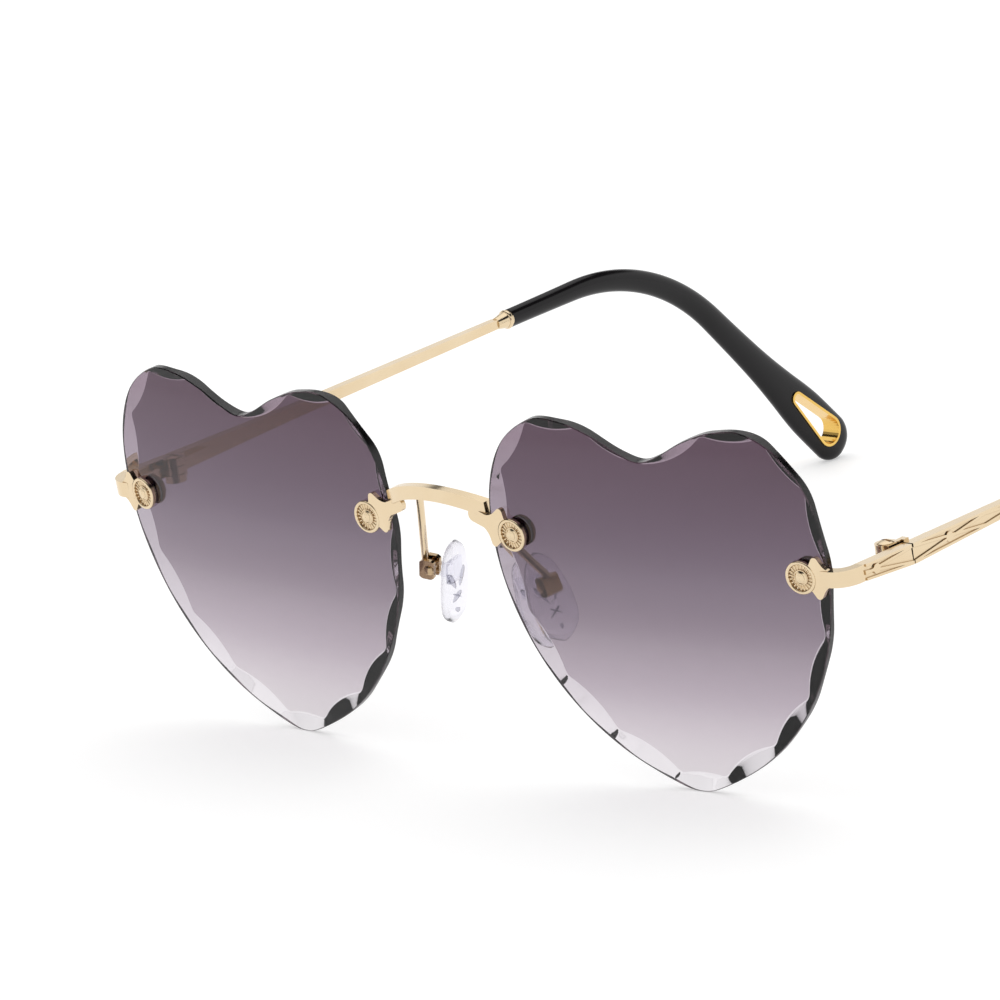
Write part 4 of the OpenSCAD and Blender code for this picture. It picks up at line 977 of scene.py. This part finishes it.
class SUNGLASSES_OT_pads(bpy.types.Operator):
    """Make both nose pads with their webs and finish their inserts"""
    bl_idname = "sunglasses.pads"
    bl_label = "Nose pads"

    def execute(self, context):
        pad = context.scene.sunglasses_pad
        clear = clear_material("clear_silicone", "clear", pad.silicone, pad.silicone_roughness, SILICONE_IOR)
        insert = clear_material("clear_insert", "clear", pad.insert, pad.insert_roughness, INSERT_IOR)
        webbing = clear_material("clear_web", "clear", pad.web, pad.web_roughness, SILICONE_IOR)
        for name, side in SIDES.items():
            place = side_matrix(side, pad_place(pad))
            piece = finish_piece("clear_pad_" + name, pad_bmesh(pad), place, [clear], side)
            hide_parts("nose_pad_" + name)
            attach(piece, "pad_" + name)
            web = finish_piece("pad_web_" + name, rib_bmesh(pad), place, [webbing], side)
            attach(web, "pad_" + name)
            finish_node("pad_insert_" + name, insert)
        return {"FINISHED"}


# Stage

def seen_directly(t):
    """One for rays that show the surroundings: from the camera, mirrored or through glass."""
    path = t.node("ShaderNodeLightPath").outputs
    return t.maths("MAXIMUM", t.maths("MAXIMUM", path["Is Camera Ray"], path["Is Glossy Ray"]),
                   path["Is Transmission Ray"])


def world_light(sets):
    """A white sweep, a dark gap and a brighter ceiling; matt things get one even soft light."""
    world = bpy.data.worlds.new("studio")
    bpy.context.scene.world = world
    world.use_nodes = True
    t = Tree(world.node_tree)
    back = world.node_tree.nodes["Background"]
    up = t.node("ShaderNodeSeparateXYZ", Vector=t.node("ShaderNodeTexCoord").outputs["Generated"]).outputs[2]
    low, high = math.sin(sets.sweep), math.sin(sets.ceiling)
    stops = ((low, 1.0), (low + GAP_FADE, sets.gap), (high - GAP_FADE, sets.gap), (high, sets.crown))
    studio = t.ramp(up, "EASE", ((place, (level, level, level)) for place, level in stops))
    room = t.mix(t.node("ShaderNodeLightPath").outputs["Is Camera Ray"], studio, WHITE)
    seen = seen_directly(t)
    t.set(back, "Color", t.mix(seen, WHITE, room))
    t.set(back, "Strength", t.steps(seen, 0.0, 1.0, sets.ambient, 1.0))


def floor_material(sets):
    """A matt floor with faint specks, whitened where it is seen."""
    m, t, s = plain_material("pale_floor")
    where = t.node("ShaderNodeTexCoord").outputs["Object"]
    speck = t.node("ShaderNodeTexNoise", Vector=where, Scale=40.0, Detail=2.0).outputs[0]
    tone = t.mix(t.maths("MULTIPLY", speck, sets.speck_share), sets.floor, sets.speck)
    t.set(s, "Base Color", tone)
    t.set(s, "Roughness", sets.matt)
    t.set(s, "Specular IOR Level", 0.0)
    t.set(s, "Emission Color", WHITE)
    t.set(s, "Emission Strength", t.maths("MULTIPLY", seen_directly(t), sets.glow))
    return m


def add_lamp(power):
    """A large round lamp over the glasses, aimed at their middle."""
    data = bpy.data.lights.new("ceiling_lamp", "AREA")
    data.shape, data.size, data.energy = "DISK", LAMP_SIZE, power
    lamp = bpy.data.objects.new("ceiling_lamp", data)
    lamp.location = LAMP_PLACE
    lamp.rotation_euler = (-Vector(LAMP_PLACE)).to_track_quat("-Z", "Y").to_euler()
    bpy.context.scene.collection.objects.link(lamp)


def add_camera(sets):
    """The camera, placed round the upright lenses and tilted with them."""
    a, e, roll = sets.azimuth, sets.elevation, sets.roll
    back = Vector((math.sin(a) * math.cos(e), -math.cos(a) * math.cos(e), math.sin(e)))
    right = Vector((math.cos(a), math.sin(a), 0))
    up = back.cross(right)
    r = right * math.cos(roll) + up * math.sin(roll)
    u = -right * math.sin(roll) + up * math.cos(roll)
    place = back * sets.distance - r * sets.aside - u * sets.above
    data = bpy.data.cameras.new("camera")
    data.lens = sets.focal
    data.clip_start, data.clip_end = CLIP
    camera = bpy.data.objects.new("camera", data)
    turn = Matrix((r, u, back)).transposed().to_4x4()
    camera.matrix_world = stand(sets) @ Matrix.Translation(place) @ turn
    bpy.context.scene.collection.objects.link(camera)
    bpy.context.scene.camera = camera


class SUNGLASSES_OT_stage(bpy.types.Operator):
    """Make the pale floor, the soft studio light and the camera"""
    bl_idname = "sunglasses.stage"
    bl_label = "Stage"

    def execute(self, context):
        sets = context.scene.sunglasses_stage
        world_light(sets)
        bm = bmesh.new()
        bmesh.ops.create_circle(bm, cap_ends=True, segments=96, radius=FLOOR_RADIUS)
        floor = finish_piece("floor", bm, Matrix.Identity(4), [floor_material(sets)])
        add_lamp(sets.lamp)
        add_camera(sets)
        context.scene.view_settings.view_transform = "Standard"
        return {"FINISHED"}


class SUNGLASSES_PT_panel(bpy.types.Panel):
    bl_idname = "SUNGLASSES_PT_panel"
    bl_label = "Heart sunglasses"
    bl_space_type = "VIEW_3D"
    bl_region_type = "UI"
    bl_category = "Sunglasses"

    def draw(self, context):
        for operator, settings, name in STEPS:
            box = self.layout.box()
            box.operator(operator.bl_idname)
            group = getattr(context.scene, name)
            for key in group.bl_rna.properties.keys():
                if key not in ("rna_type", "name"):
                    box.prop(group, key)


# Steps in their order, each with its settings and their name in the scene
STEPS = (
    (SUNGLASSES_OT_lenses, LensSettings, "sunglasses_lens"),
    (SUNGLASSES_OT_metal, MetalSettings, "sunglasses_metal"),
    (SUNGLASSES_OT_tips, TipSettings, "sunglasses_tip"),
    (SUNGLASSES_OT_pads, PadSettings, "sunglasses_pad"),
    (SUNGLASSES_OT_stage, StageSettings, "sunglasses_stage"),
)


def register():
    for operator, settings, name in STEPS:
        bpy.utils.register_class(settings)
        bpy.utils.register_class(operator)
        setattr(bpy.types.Scene, name, PointerProperty(type=settings))
    bpy.utils.register_class(SUNGLASSES_PT_panel)


def unregister():
    bpy.utils.unregister_class(SUNGLASSES_PT_panel)
    for operator, settings, name in STEPS:
        delattr(bpy.types.Scene, name)
        bpy.utils.unregister_class(operator)
        bpy.utils.unregister_class(settings)


def main():
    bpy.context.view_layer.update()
    register()
    for operator, settings, name in STEPS:
        getattr(bpy.ops.sunglasses, operator.bl_idname.split(".")[1])()


if __name__ == "__main__":
    main()
